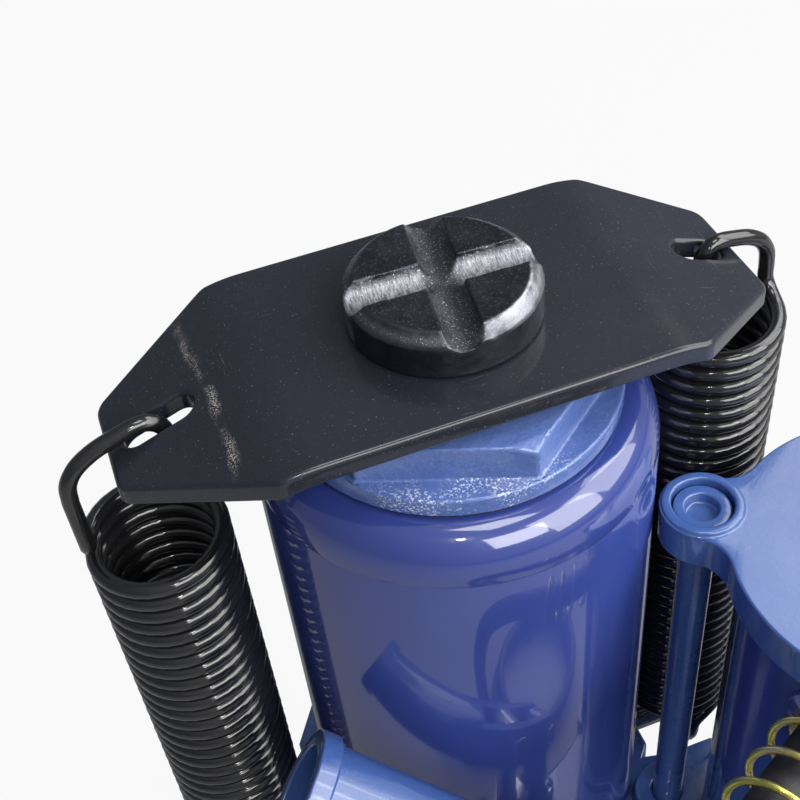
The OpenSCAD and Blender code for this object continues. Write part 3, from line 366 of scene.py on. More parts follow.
class Finish:
    """A procedural material that grows node by node."""

    def __init__(self, name, colour, metallic=0.0, roughness=0.3):
        self.material = bpy.data.materials.new(name)
        self.material.use_nodes = True
        self.tree = self.material.node_tree
        self.shader = self.tree.nodes["Principled BSDF"]
        self.place = self.tree.nodes.new("ShaderNodeTexCoord").outputs["Object"]
        self.normal = None
        self.put(Metallic=metallic, Roughness=roughness)
        self.shader.inputs["Base Color"].default_value = tinted(colour, 1)

    def put(self, **values):
        for name, value in values.items():
            self.shader.inputs[name.replace("_", " ")].default_value = value

    def node(self, kind, **settings):
        made = self.tree.nodes.new("ShaderNode" + kind)
        for name, value in settings.items():
            setattr(made, name, value)
        return made

    def join(self, source, target):
        self.tree.links.new(source, target)

    def stretched(self, scale, turn=(0, 0, 0)):
        mapping = self.node("Mapping")
        self.join(self.place, mapping.inputs["Vector"])
        mapping.inputs["Scale"].default_value = scale
        mapping.inputs["Rotation"].default_value = turn
        return mapping.outputs["Vector"]

    def grain(self, scale, detail=2.0, rough=0.5, place=None, twist=0.0):
        made = self.node("TexNoise")
        self.join(place or self.place, made.inputs["Vector"])
        settings = {"Scale": scale, "Detail": detail, "Roughness": rough, "Distortion": twist}
        for name, value in settings.items():
            made.inputs[name].default_value = value
        return made.outputs["Fac"]

    def axis(self, which, place=None):
        split = self.node("SeparateXYZ")
        self.join(place or self.place, split.inputs["Vector"])
        return split.outputs[which]

    def sum(self, operation, a, b=None, c=None, clamp=False):
        made = self.node("Math", operation=operation, use_clamp=clamp)
        for slot, value in zip(made.inputs, (a, b, c)):
            if value is None:
                continue
            if isinstance(value, (int, float)):
                slot.default_value = value
            else:
                self.join(value, slot)
        return made.outputs[0]

    def product(self, first, *others):
        for other in others:
            first = self.sum("MULTIPLY", first, other)
        return first

    def span(self, value, low, high, to_low=0.0, to_high=1.0):
        made = self.node("MapRange", clamp=True)
        self.join(value, made.inputs["Value"])
        settings = {"From Min": low, "From Max": high, "To Min": to_low, "To Max": to_high}
        for name, number in settings.items():
            made.inputs[name].default_value = number
        return made.outputs["Result"]

    def tones(self, value, *stops):
        ramp = self.node("ValToRGB")
        self.join(value, ramp.inputs["Fac"])
        elements = ramp.color_ramp.elements
        while len(elements) < len(stops):
            elements.new(0.5)
        for element, (at, colour) in zip(elements, stops):
            element.position = at
            element.color = colour
        return ramp.outputs["Color"]

    def over(self, mask, below, above):
        mix = self.node("Mix", data_type="RGBA")
        self.join(mask, mix.inputs["Factor"])
        for slot, value in ((mix.inputs["A"], below), (mix.inputs["B"], above)):
            if isinstance(value, tuple):
                slot.default_value = value
            else:
                self.join(value, slot)
        return mix.outputs["Result"]

    def colour(self, socket):
        self.join(socket, self.shader.inputs["Base Color"])

    def rough(self, socket):
        self.join(socket, self.shader.inputs["Roughness"])

    def relief(self, height, depth, strength=1.0):
        bump = self.node("Bump")
        bump.inputs["Distance"].default_value = depth
        bump.inputs["Strength"].default_value = strength
        self.join(height, bump.inputs["Height"])
        if self.normal is not None:
            self.join(self.normal, bump.inputs["Normal"])
        self.normal = bump.outputs["Normal"]
        self.join(self.normal, self.shader.inputs["Normal"])


FINISHES = {}


def finish(kind):
    if kind not in FINISHES:
        FINISHES[kind] = globals()[kind](bpy.context.scene.jack_colours).material
    return FINISHES[kind]


def blue_enamel(c):
    """Gloss enamel on tube: slow change of tone, orange peel and a clear top."""
    f = Finish("blue_enamel", c.enamel, roughness=0.2)
    f.colour(f.tones(f.grain(14, 3), (0.3, tinted(c.enamel, 0.92)), (0.7, tinted(c.enamel, 1.07))))
    f.rough(f.span(f.grain(55, 4), 0.3, 0.7, 0.13, 0.24))
    f.relief(f.grain(230, 2), 0.0005, 0.10)
    f.relief(f.grain(1300, 1), 0.0002, 0.06)
    f.put(Coat_Weight=1.0, Coat_Roughness=0.035, Coat_IOR=1.7, IOR=1.4)
    return f


def cast_enamel(c):
    """The same enamel over castings: coarser skin, dust grains under the paint."""
    f = Finish("cast_enamel", c.casting, roughness=0.26)
    grit = f.span(f.grain(1500, 2), 0.66, 0.74)
    tone = f.tones(f.grain(18, 3), (0.3, tinted(c.casting, 0.93)), (0.7, tinted(c.casting, 1.09)))
    f.colour(f.over(grit, tone, tinted(c.casting, 1.7)))
    f.rough(f.span(f.grain(70, 4), 0.3, 0.7, 0.2, 0.36))
    f.relief(f.grain(160, 3), 0.0008, 0.16)
    f.relief(f.grain(1500, 2), 0.0003, 0.10)
    f.put(Coat_Weight=0.8, Coat_Roughness=0.07, Coat_IOR=1.6, IOR=1.45)
    return f


def nut_enamel(c):
    """Enamel over a rough forged nut, painted paler than the castings' as painted light, with white grit on its skin
    and painted glints of the same white, most on the front of its flange.
    """
    f = Finish("nut_enamel", c.casting, roughness=0.2)
    # The nut's blues are paler than the castings': painted light, for the direct light it takes. The white marks grit
    # and its painted glints.
    dark, pale, white = (0.075, 0.132, 0.36, 1), (0.105, 0.172, 0.43, 1), (0.66, 0.72, 0.82, 1)
    low = f.span(f.axis("Z"), FLANGE_TOP + 0.3 * MM, FLANGE_TOP + 0.8 * MM, 1.0, 0.0)
    front = f.product(
        f.span(f.axis("Y"), -0.028, -0.038), f.span(f.axis("X"), 0.006, 0.020, 1.0, 0.0))
    # Front of the flange, where the white glints gather: painted glints.
    flange = f.product(low, front)
    specks = f.span(f.grain(1500, 3, 0.6), 0.53, 0.60)
    grit = f.product(specks, f.sum("MULTIPLY_ADD", flange, 0.8, 0.06))
    tone = f.tones(f.grain(60, 4), (0.3, dark), (0.7, pale))
    f.colour(f.over(f.product(grit, f.span(f.grain(95, 2), 0.40, 0.55)), tone, white))
    f.rough(f.span(f.grain(300, 4), 0.3, 0.7, 0.12, 0.3))
    f.relief(f.grain(420, 4, 0.6), 0.0011, 0.35)
    f.put(Coat_Weight=0.7, Coat_Roughness=0.05, Coat_IOR=1.55, IOR=1.45)
    return f


def plate_enamel(c):
    """Gloss black paint with fine scratches, dust and one pale scuff across the left wing."""
    f = Finish("plate_enamel", c.plate, roughness=0.25)
    dust = f.span(f.grain(1900, 2), 0.68, 0.76)
    scratch = f.grain(5, 6, 0.6, f.stretched((520, 18, 18), (0, 0, 0.5)), 0.4)
    fine = f.product(f.span(scratch, 0.67, 0.71), f.span(f.grain(34, 2), 0.48, 0.60))
    scratch = f.grain(5, 5, 0.6, f.stretched((16, 420, 16), (0, 0, -0.3)), 0.3)
    crossed = f.product(f.span(scratch, 0.68, 0.72), f.span(f.grain(27, 2), 0.50, 0.62))
    marks = f.sum("ADD", fine, crossed, clamp=True)
    # The scuff is a bowed line at about x = -61.6 mm
    wobble = f.span(f.grain(90, 3), 0.2, 0.8, -0.0016, 0.0016)
    along = f.axis("Y")
    slant = f.sum("MULTIPLY_ADD", along, -0.035, -0.0616)
    centre = f.sum("MULTIPLY_ADD", f.product(along, along), -1.8, slant)
    away = f.sum("ABSOLUTE", f.sum("ADD", f.sum("SUBTRACT", f.axis("X"), centre), wobble))
    line = f.product(f.span(away, 0.0002, 0.0016, 1.0, 0.0), f.span(f.grain(2600, 2, 0.6), 0.50, 0.58))
    reach = f.product(f.span(along, -0.031, -0.024), f.span(along, 0.024, 0.031, 1.0, 0.0))
    scuff = f.product(line, reach, f.span(f.grain(110, 2), 0.34, 0.50))
    tone = f.tones(f.grain(11, 3), (0.3, tinted(c.plate, 0.9)), (0.7, tinted(c.plate, 1.1)))
    tone = f.over(f.product(dust, 0.6), tone, (0.22, 0.22, 0.24, 1))
    tone = f.over(f.product(marks, 0.5), tone, (0.22, 0.22, 0.22, 1))
    f.colour(f.over(scuff, tone, (0.40, 0.37, 0.32, 1)))
    gloss = f.span(f.grain(46, 4), 0.3, 0.7, 0.16, 0.30)
    f.rough(f.sum("ADD", gloss, f.product(scuff, 0.4), clamp=True))
    f.relief(f.grain(150, 2), 0.0005, 0.07)
    f.relief(marks, 0.0001, -0.25)
    f.put(Coat_Weight=0.45, Coat_Roughness=0.06, IOR=1.4)
    return f


def worn_edge(c):
    """Sheared side of the plate: brownish streaks where the paint is thin, over a black painted darker than the top's
    as painted shade.
    """
    f = Finish("worn_edge", c.plate, roughness=0.35)
    streak = f.span(f.grain(7, 4, 0.6, f.stretched((26, 26, 190))), 0.44, 0.64)
    rubbed = f.product(streak, f.span(f.grain(120, 3), 0.40, 0.62))
    # Sides in half the plate's black, a painted shade; the brown streaks are rubbed paint.
    f.colour(f.over(rubbed, tinted(c.plate, 0.5), (0.055, 0.042, 0.029, 1)))
    f.rough(f.span(f.grain(260, 3), 0.3, 0.7, 0.26, 0.5))
    f.relief(f.grain(6, 3, 0.6, f.stretched((60, 60, 300))), 0.0003, 0.2)
    f.put(Coat_Weight=0.15, Coat_Roughness=0.1, IOR=1.38)
    return f


def spring_black(c):
    """Gloss black paint on spring wire."""
    f = Finish("spring_black", c.spring, roughness=0.12)
    f.colour(f.tones(f.grain(45, 4), (0.35, tinted(c.spring, 0.7)), (0.7, tinted(c.spring, 1.4))))
    f.rough(f.span(f.grain(210, 3), 0.3, 0.7, 0.07, 0.17))
    f.relief(f.grain(900, 2), 0.0002, 0.10)
    f.put(Coat_Weight=0.7, Coat_Roughness=0.05, IOR=1.5)
    return f


def saddle_steel(c):
    """Blackened saddle: gritty top, lighter grooves as painted light, brushed metal painted pale in one groove as a
    painted highlight, and a worn rim painted lighter on its lit side as a painted highlight.
    """
    f = Finish("saddle_steel", c.saddle, metallic=0.75, roughness=0.4)
    groove_turn = math.radians(2.5)
    turned = f.stretched((1, 1, 1), (0, 0, groove_turn))
    across = f.sum("ABSOLUTE", f.axis("Y", turned))
    along = f.sum("ABSOLUTE", f.axis("X", turned))
    z = f.axis("Z")
    in_groove = f.span(across, 0.0036, 0.0047, 1.0, 0.0)
    out_of_middle = f.span(along, 0.0035, 0.0055)
    below = f.span(z, 0.2642, 0.2634)
    rubbed = f.span(f.grain(9, 5, 0.65, f.stretched((300, 40, 40), (0, 0, 0.7))), 0.34, 0.60)
    # Brushed metal in one groove, painted pale as a painted highlight of the light it reflects; the other groove stays
    # dark.
    bright = f.product(in_groove, out_of_middle, below, rubbed)
    radius = f.sum("SQRT", f.sum("ADD", f.product(along, along), f.product(across, across)))
    inside = f.span(radius, 0.0212, 0.0218, 1.0, 0.0)
    rim = f.product(f.sum("SUBTRACT", 1.0, inside), f.span(z, 0.2606, 0.2612))
    # The rim is worn bare; its right, lit side is painted lighter as a painted highlight.
    rubbed_side = f.span(f.axis("X", turned), -0.010, 0.004, 0.15, 1.0)
    worn_rim = f.product(rim, rubbed_side, f.span(f.grain(90, 3), 0.36, 0.56))
    sunk = f.product(f.span(z, 0.2640, 0.2630), f.span(radius, 0.0238, 0.0246, 1.0, 0.0))
    spark = f.product(f.span(f.grain(2300, 2), 0.61, 0.68), f.sum("MULTIPLY_ADD", sunk, 0.6, 0.25))
    tone = f.tones(f.grain(120, 4), (0.3, tinted(c.saddle, 0.7)), (0.7, tinted(c.saddle, 1.5)))
    # Lighter grey below the top face, in the grooves: painted light, for the light seen in them.
    tone = f.over(f.product(sunk, 0.3), tone, (0.16, 0.165, 0.19, 1))
    tone = f.over(f.product(spark, f.sum("MAXIMUM", inside, sunk)), tone, (0.55, 0.56, 0.58, 1))
    # Worn rim with its painted highlight.
    tone = f.over(f.product(worn_rim, 0.6), tone, (0.44, 0.45, 0.49, 1))
    # The groove's painted highlight goes on last.
    f.colour(f.over(bright, tone, (0.33, 0.33, 0.365, 1)))
    f.rough(f.sum("MULTIPLY_ADD", sunk, 0.2, f.span(f.grain(700, 3), 0.3, 0.7, 0.18, 0.34)))
    pitting = f.product(f.grain(1500, 3, 0.6), f.sum("MULTIPLY_ADD", sunk, 0.7, 0.3))
    f.relief(pitting, 0.0004, 0.4)
    return f


def ground_steel(c):
    """Ground steel with fine streaks round it."""
    f = Finish("ground_steel", c.steel, metallic=1.0, roughness=0.25)
    streak = f.grain(6, 4, 0.6, f.stretched((40, 40, 900)))
    f.colour(f.tones(streak, (0.3, tinted(c.steel, 0.85)), (0.7, tinted(c.steel, 1.12))))
    f.rough(f.span(streak, 0.3, 0.7, 0.16, 0.32))
    f.relief(streak, 0.0001, 0.08)
    return f


def dark_screw(c):
    """Oiled dark steel of the extension screw."""
    f = Finish("dark_screw", c.saddle, metallic=0.9, roughness=0.35)
    f.colour(f.tones(f.grain(90, 4), (0.3, tinted(c.saddle, 1.2)), (0.7, tinted(c.saddle, 2.6))))
    f.rough(f.span(f.grain(140, 3), 0.3, 0.7, 0.22, 0.42))
    f.relief(f.grain(800, 2), 0.0002, 0.12)
    return f


def yellow_zinc(c):
    """Yellow zinc plating that turns green and rosy along the wire."""
    f = Finish("yellow_zinc", c.zinc, metallic=0.9, roughness=0.25)
    f.colour(f.tones(f.grain(75, 3), (0.30, (0.42, 0.46, 0.09, 1)), (0.5, tinted(c.zinc, 1)),
                     (0.70, (0.66, 0.55, 0.34, 1))))
    f.rough(f.span(f.grain(300, 3), 0.3, 0.7, 0.18, 0.34))
    f.relief(f.grain(1200, 2), 0.0001, 0.1)
    return f


def turned_brass(c):
    """Turned brass of the fittings."""
    f = Finish("turned_brass", c.brass, metallic=1.0, roughness=0.28)
    f.colour(f.tones(f.grain(60, 4), (0.3, tinted(c.brass, 0.8)), (0.7, tinted(c.brass, 1.1))))
    f.rough(f.span(f.grain(240, 3), 0.3, 0.7, 0.2, 0.38))
    f.relief(f.grain(900, 2), 0.0001, 0.1)
    return f


def black_rubber(c):
    """Matt black hose rubber with a fine skin."""
    f = Finish("black_rubber", c.rubber, roughness=0.5)
    f.colour(f.tones(f.grain(80, 4), (0.3, tinted(c.rubber, 0.8)), (0.7, tinted(c.rubber, 1.8))))
    f.rough(f.span(f.grain(190, 3), 0.3, 0.7, 0.38, 0.58))
    f.relief(f.grain(1400, 3), 0.0003, 0.25)
    return f


def satin_alloy(c):
    """Satin alloy of the air valve."""
    f = Finish("satin_alloy", c.alloy, metallic=1.0, roughness=0.35)
    f.colour(f.tones(f.grain(70, 4), (0.3, tinted(c.alloy, 0.88)), (0.7, tinted(c.alloy, 1.08))))
    f.rough(f.span(f.grain(320, 3), 0.3, 0.7, 0.28, 0.44))
    f.relief(f.grain(1100, 2), 0.0001, 0.1)
    return f


def strap_cloth(c):
    """Woven black strap of the hose coil."""
    f = Finish("strap_cloth", c.rubber, roughness=0.8)
    weave = f.grain(7, 2, 0.5, f.stretched((260, 260, 90)))
    f.colour(f.tones(weave, (0.35, tinted(c.rubber, 0.8)), (0.65, tinted(c.rubber, 2.6))))
    f.relief(weave, 0.0004, 0.4)
    return f


SLOT_FINISH = {
    "blue_enamel": "blue_enamel", "black_enamel": "spring_black", "dark_steel": "dark_screw",
    "bright_steel": "ground_steel", "brass_fitting": "turned_brass", "yellow_zinc": "yellow_zinc",
    "black_rubber": "black_rubber", "valve_alloy": "satin_alloy",
}


def settle(piece, kind, *nodes):
    """Gives a piece its finish, its slot and the nodes that it stands for."""
    piece.data.materials.clear()
    for name in kind if isinstance(kind, tuple) else (kind,):
        piece.data.materials.append(finish(name))
    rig.replaces(piece, *nodes)
    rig.slot(piece, SLOT_OF[nodes[0]])
    return piece


def show(name, mesh):
    piece = bpy.data.objects.new(name, mesh)
    bpy.context.scene.collection.objects.link(piece)
    return piece


def mesh_piece(name, bm, smooth_below=35):
    """Turns a bmesh into a smooth-shaded piece whose sharp edges stay sharp."""
    mesh = bpy.data.meshes.new(name)
    bm.normal_update()
    bm.to_mesh(mesh)
    bm.free()
    mesh.shade_smooth()
    mesh.set_sharp_from_angle(angle=math.radians(smooth_below))
    return show(name, mesh)


def even_shading(piece):
    """Keeps flat faces flat beside their rounded edges."""
    weigh = piece.modifiers.new("even shading", "WEIGHTED_NORMAL")
    weigh.weight = 90
    weigh.keep_sharp = True
    return piece


def merged_copy(node):
    bm = bmesh.new()
    bm.from_mesh(frame["nodes"][node].data)
    bmesh.ops.remove_doubles(bm, verts=bm.verts, dist=2e-6)
    return bm


def mark_flats(bm):
    """Numbers the flat areas that have more than four corners, and gives their normals."""
    flat = bm.faces.layers.int.new("flat")
    normals = []
    for seed in bm.faces:
        if seed[flat] or len(seed.verts) <= 4:
            continue
        normals.append(seed.normal.copy())
        seed[flat] = len(normals)
        found = [seed]
        while found:
            for edge in found.pop().edges:
                for other in edge.link_faces:
                    if not other[flat] and other.normal.dot(seed.normal) > 0.99995:
                        other[flat] = len(normals)
                        found.append(other)
    return flat, normals


def refill_flats(bm, flat, normals, rounded):
    """Fills each flat area again inside its rounded edges."""
    areas = {}
    for face in bm.faces:
        if face[flat] and face not in rounded:
            areas.setdefault(face[flat], set()).add(face)
    for number, faces in areas.items():
        edges = {edge for face in faces for edge in face.edges}
        rim = [edge for edge in edges if sum(face in faces for face in edge.link_faces) == 1]
        bmesh.ops.delete(bm, geom=list(faces), context="FACES_ONLY")
        bmesh.ops.delete(bm, geom=list(edges.difference(rim)), context="EDGES")
        bmesh.ops.triangle_fill(
            bm, use_beauty=True, use_dissolve=False, edges=rim, normal=normals[number - 1])


def join_flats(bm):
    """Joins the triangles of each flat area."""
    bmesh.ops.dissolve_limit(
        bm, angle_limit=math.radians(0.6), verts=bm.verts, edges=bm.edges, use_dissolve_boundaries=False)


def round_edges(bm, width, segments=3, angle=40):
    """Rounds the sharp edges, and keeps the areas beside them flat."""
    join_flats(bm)
    flat, normals = mark_flats(bm)
    sharp = [e for e in bm.edges if e.is_manifold and e.calc_face_angle(0) > math.radians(angle)]
    made = bmesh.ops.bevel(
        bm, geom=sharp, offset=width, offset_type="OFFSET", affect="EDGES", segments=segments,
        profile=0.5, material=-1, clamp_overlap=False, loop_slide=False)
    refill_flats(bm, flat, normals, set(made["faces"]))
    bm.faces.layers.int.remove(flat)
    bmesh.ops.recalc_face_normals(bm, faces=bm.faces)


def soften(node, kind, width, segments=3, angle=40):
    """Stands in for a frame node with a copy that has rounded edges and a finish."""
    bm = merged_copy(node)
    round_edges(bm, width, segments, angle)
    piece = even_shading(mesh_piece(node + "_finish", bm))
    settle(piece, kind, node)
    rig.ride(piece, BODY_OF[node])
    return piece


def spun(name, profile, steps=128):
    """A solid of revolution about Z from (radius, height) points."""
    bm = bmesh.new()
    points = [bm.verts.new((r, 0, z)) for r, z in profile]
    edges = [bm.edges.new(pair) for pair in zip(points, points[1:] + points[:1])]
    bmesh.ops.spin(
        bm, geom=points + edges, cent=(0, 0, 0), axis=(0, 0, 1), dvec=(0, 0, 0),
        angle=2 * math.pi, steps=steps, use_merge=True, use_duplicate=False)
    bmesh.ops.remove_doubles(bm, verts=bm.verts, dist=1e-7)
    bmesh.ops.recalc_face_normals(bm, faces=bm.faces)
    return mesh_piece(name, bm, 30)


def wire(name, points, diameter, sides=3):
    """A round wire along points, as a mesh whose vertices run ring by ring."""
    line = bpy.data.curves.new(name, "CURVE")
    line.dimensions = "3D"
    line.bevel_depth = diameter / 2
    line.bevel_resolution = sides
    spline = line.splines.new("POLY")
    spline.points.add(len(points) - 1)
    for point, at in zip(spline.points, points):
        point.co = (*at, 1)
    holder = show(name + "_line", line)
    graph = bpy.context.evaluated_depsgraph_get()
    mesh = bpy.data.meshes.new_from_object(holder.evaluated_get(graph))
    bpy.data.objects.remove(holder)
    bpy.data.curves.remove(line)
    mesh.name = name
    bm = bmesh.new()
    bm.from_mesh(mesh)
    bmesh.ops.holes_fill(bm, edges=[e for e in bm.edges if e.is_boundary], sides=0)
    bm.to_mesh(mesh)
    bm.free()
    mesh.shade_smooth()
    mesh.set_sharp_from_angle(angle=math.radians(50))
    return show(name, mesh)


def arc_points(start, stop, count):
    return [start + (stop - start) * i / count for i in range(count + 1)]


def through(knots, steps):
    """Points on a smooth line through the knots."""
    ends = [knots[0] * 2 - knots[1], *knots, knots[-1] * 2 - knots[-2]]
    points = []
    for before, start, stop, after in zip(ends, ends[1:], ends[2:], ends[3:]):
        leave, arrive = start + (stop - before) / 6, stop - (after - start) / 6
        points += interpolate_bezier(start, leave, arrive, stop, steps)[:-1]
    return points + [knots[-1]]


def spring_points(sizes, top, reach):
    """A return spring's wire about its own axis, from foot hook to head hook.

    Each point comes with its share of the stretch.
    """
    r = sizes.coil_radius
    leg = FOOT_Z + FOOT_LEG
    low = leg + HOOK_RISE
    points = [Vector((0, r, FOOT_Z + FOOT_TIP))]
    for a in arc_points(0, math.pi, 20):
        points.append(Vector((0, r * math.cos(a), FOOT_Z - r * math.sin(a))))
    for s in arc_points(0, math.pi / 2, 8)[:-1]:
        a = HOOK_SWEEP * (1 - math.cos(s)) - math.pi / 2
        points.append(Vector((r * math.cos(a), r * math.sin(a), leg + HOOK_RISE * math.sin(s))))
    shares = [0.0] * len(points)
    start = HOOK_SWEEP - math.pi / 2
    part = HOOK_TURN - HOOK_SWEEP - start
    whole = part + 2 * math.pi * round((top - low) / sizes.spring_pitch - part / (2 * math.pi))
    steps = round(whole / (2 * math.pi) * sizes.curl_points)
    for i in range(steps + 1):
        a = start + whole * i / steps
        points.append(Vector((r * math.cos(a), r * math.sin(a), low + (top - low) * i / steps)))
        shares.append(i / steps)
    for s in arc_points(0, math.pi / 2, 8)[1:]:
        a = HOOK_TURN - HOOK_SWEEP + HOOK_SWEEP * math.sin(s)
        points.append(Vector((r * math.cos(a), r * math.sin(a), top + HOOK_RISE * (1 - math.cos(s)))))
    outer = Vector((r * math.cos(HOOK_TURN), r * math.sin(HOOK_TURN), HOOK_TOP))
    inner = Vector((-reach, 0, HOOK_TOP))
    room = HOOK_TOP - top - HOOK_RISE - 1 * MM
    knots = [outer - Vector((0, 0, max(min(HOOK_HEIGHT, room), 0)))]
    for share, drop in HOOK:
        knots.append(inner.lerp(outer, share) - Vector((0, 0, drop * MM)))
    points += through(knots, 6)
    shares += [1.0] * (len(points) - len(shares))
    return points, shares


def stretch(spring, moving, shares, low, high):
    """Ties a wound wire to the base and a moving body, so that its coils spread evenly."""
    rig.blend(spring, "base", moving, start=(0, 0, low), end=(0, 0, high))
    count = len(spring.data.vertices)
    ring = count // len(shares)
    if ring * len(shares) != count:
        raise RuntimeError(f"the spring's wire has uneven rings: {count} on {len(shares)}")
    ring_shares = [share for share in shares for _ in range(ring)]
    spring.data.attributes["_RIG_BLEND"].data.foreach_set("value", ring_shares)


def out_of_motor(distance, side=0.0, up=0.0):
    turn = Matrix.Rotation(HOSE_TURN, 3, "Z")
    return turn @ Vector((distance, HOSE_SIDE + side, up)) + MOTOR + Vector((0, 0, HOSE_Z))


def hose_route():
    """The hose from the motor to its valve, through the points of the frame's own route."""
    points = [out_of_motor(d * MM) for d in OUTLET]
    scale = (HOSE_Z / MM - ROUTE_LOW) / ROUTE_RISE
    for x, y, z in ROUTE:
        points.append(Vector((x, y, ROUTE_LOW + (z - ROUTE_LOW) * scale if z > ROUTE_LOW else z)) * MM)
    cx, cy = LOOP_START[0] + LOOP_RADIUS, LOOP_START[1]
    middle = LOOP_TURNS / 2
    for i in range(int(LOOP_TURNS * LOOP_POINTS) + 1):
        t = i / LOOP_POINTS
        r = LOOP_RADIUS - LOOP_STEP * (middle - abs(t - middle))
        s = min(max((t - middle) * 2 + 0.5, 0), 1)
        a = math.pi + 2 * math.pi * t
        z = LOOP_LOW + LOOP_LIFT * s * s * (3 - 2 * s)
        points.append(Vector((cx + r * math.cos(a), cy + r * math.sin(a), z)) * MM)
    high = LOOP_LOW + LOOP_LIFT
    for x in TAIL_X:
        s = min(max((x - TAIL_X[1]) / (TAIL_X[-2] - TAIL_X[1]), 0), 1)
        fall = 2 * s * s if s < 0.5 else 1 - 2 * (1 - s) * (1 - s)
        points.append(Vector((cx - TAIL_BACK - x, cy + LOOP_RADIUS, high + (TAIL_Z - high) * fall)) * MM)
    return points


class JACK_OT_stage(bpy.types.Operator):
    """Sets the pale floor, the soft lights, the world and the camera of the photograph"""

    bl_idname = "jack.stage"
    bl_label = "Stage"

    def execute(self, context):
        scene = context.scene
        scene.view_settings.view_transform = "Standard"
        bm = bmesh.new()
        bmesh.ops.create_grid(bm, x_segments=1, y_segments=1, size=4)
        bmesh.ops.translate(bm, vec=(0, 0, -0.0004), verts=bm.verts)
        floor = mesh_piece("floor", bm)
        floor.data.materials.append(self.floor_paint())
        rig.stage(floor)
        self.world(scene)
        for name, turn, rise, size, distance, power, tint in LAMPS:
            data = bpy.data.lights.new(name, "AREA")
            data.shape = "RECTANGLE"
            data.size, data.size_y = size
            data.energy = power
            data.color = tint
            lamp = bpy.data.objects.new(name, data)
            scene.collection.objects.link(lamp)
            turn, rise = math.radians(turn), math.radians(rise)
            level = Vector((math.cos(turn), math.sin(turn), 0)) * math.cos(rise)
            away = (level + Vector((0, 0, math.sin(rise)))) * distance
            facing = (-away).to_track_quat("-Z", "Y").to_matrix().to_4x4()
            lamp.visible_camera = False
            lamp.matrix_world = Matrix.Translation(away + LAMP_AIM) @ facing
        self.camera(scene)
        return {"FINISHED"}

    def floor_paint(self):
        paint = bpy.data.materials.new("pale_floor")
        paint.use_nodes = True
        nodes, links = paint.node_tree.nodes, paint.node_tree.links
        matt = nodes["Principled BSDF"]
        matt.inputs["Base Color"].default_value = (0.30, 0.30, 0.30, 1)
        matt.inputs["Roughness"].default_value = 0.9
        glow = nodes.new("ShaderNodeEmission")
        glow.inputs["Color"].default_value = (1, 1, 1, 1)
        mix = nodes.new("ShaderNodeMixShader")
        links.new(self.backdrop_share(nodes, links), mix.inputs["Fac"])
        links.new(matt.outputs[0], mix.inputs[1])
        links.new(glow.outputs[0], mix.inputs[2])
        links.new(mix.outputs[0], nodes["Material Output"].inputs["Surface"])
        return paint

    def backdrop_share(self, nodes, links):
        """How much plain white a ray meets: nearly all for the camera, a little in reflections."""
        path = nodes.new("ShaderNodeLightPath")
        share = None
        for ray, part in BACKDROP:
            add = nodes.new("ShaderNodeMath")
            add.operation = "MULTIPLY_ADD"
            links.new(path.outputs[ray], add.inputs[0])
            add.inputs[1].default_value = part
            add.inputs[2].default_value = 0.0
            if share is not None:
                links.new(share, add.inputs[2])
            share = add.outputs[0]
        return share

    def world(self, scene):
        """Soft light that is stronger on the right, where the lamps stand."""
        sky = bpy.data.worlds.new("studio")
        scene.world = sky
        sky.use_nodes = True
        nodes, links = sky.node_tree.nodes, sky.node_tree.links
        place = nodes.new("ShaderNodeTexCoord")
        lean = nodes.new("ShaderNodeVectorMath")
        lean.operation = "DOT_PRODUCT"
        lean.inputs[1].default_value = (0.55, -0.55, 0.63)
        links.new(place.outputs["Generated"], lean.inputs[0])
        ramp = nodes.new("ShaderNodeValToRGB")
        low, high = ramp.color_ramp.elements
        low.position, low.color = 0.1, (0.12, 0.13, 0.16, 1)
        high.position, high.color = 0.9, (0.46, 0.47, 0.50, 1)
        links.new(lean.outputs["Value"], ramp.inputs["Fac"])
        white = nodes.new("ShaderNodeMix")
        white.data_type = "RGBA"
        links.new(self.backdrop_share(nodes, links), white.inputs["Factor"])
        links.new(ramp.outputs["Color"], white.inputs["A"])
        white.inputs["B"].default_value = (1, 1, 1, 1)
        links.new(white.outputs["Result"], nodes["Background"].inputs["Color"])
        nodes["Background"].inputs["Strength"].default_value = 1.0

    def camera(self, scene):
        data = bpy.data.cameras.new("camera")
        data.lens = CAMERA_LENS
        data.sensor_width = 36
        data.sensor_fit = "HORIZONTAL"
        data.clip_start = 0.01
        eye = bpy.data.objects.new("camera", data)
        scene.collection.objects.link(eye)
        back = Vector(CAMERA_BACK).normalized()
        right = Vector(CAMERA_RIGHT)
        right = (right - back * right.dot(back)).normalized()
        up = back.cross(right)
        turn = Matrix((right, up, back)).transposed().to_4x4()
        eye.matrix_world = Matrix.Translation(CAMERA_PLACE) @ turn
        scene.camera = eye


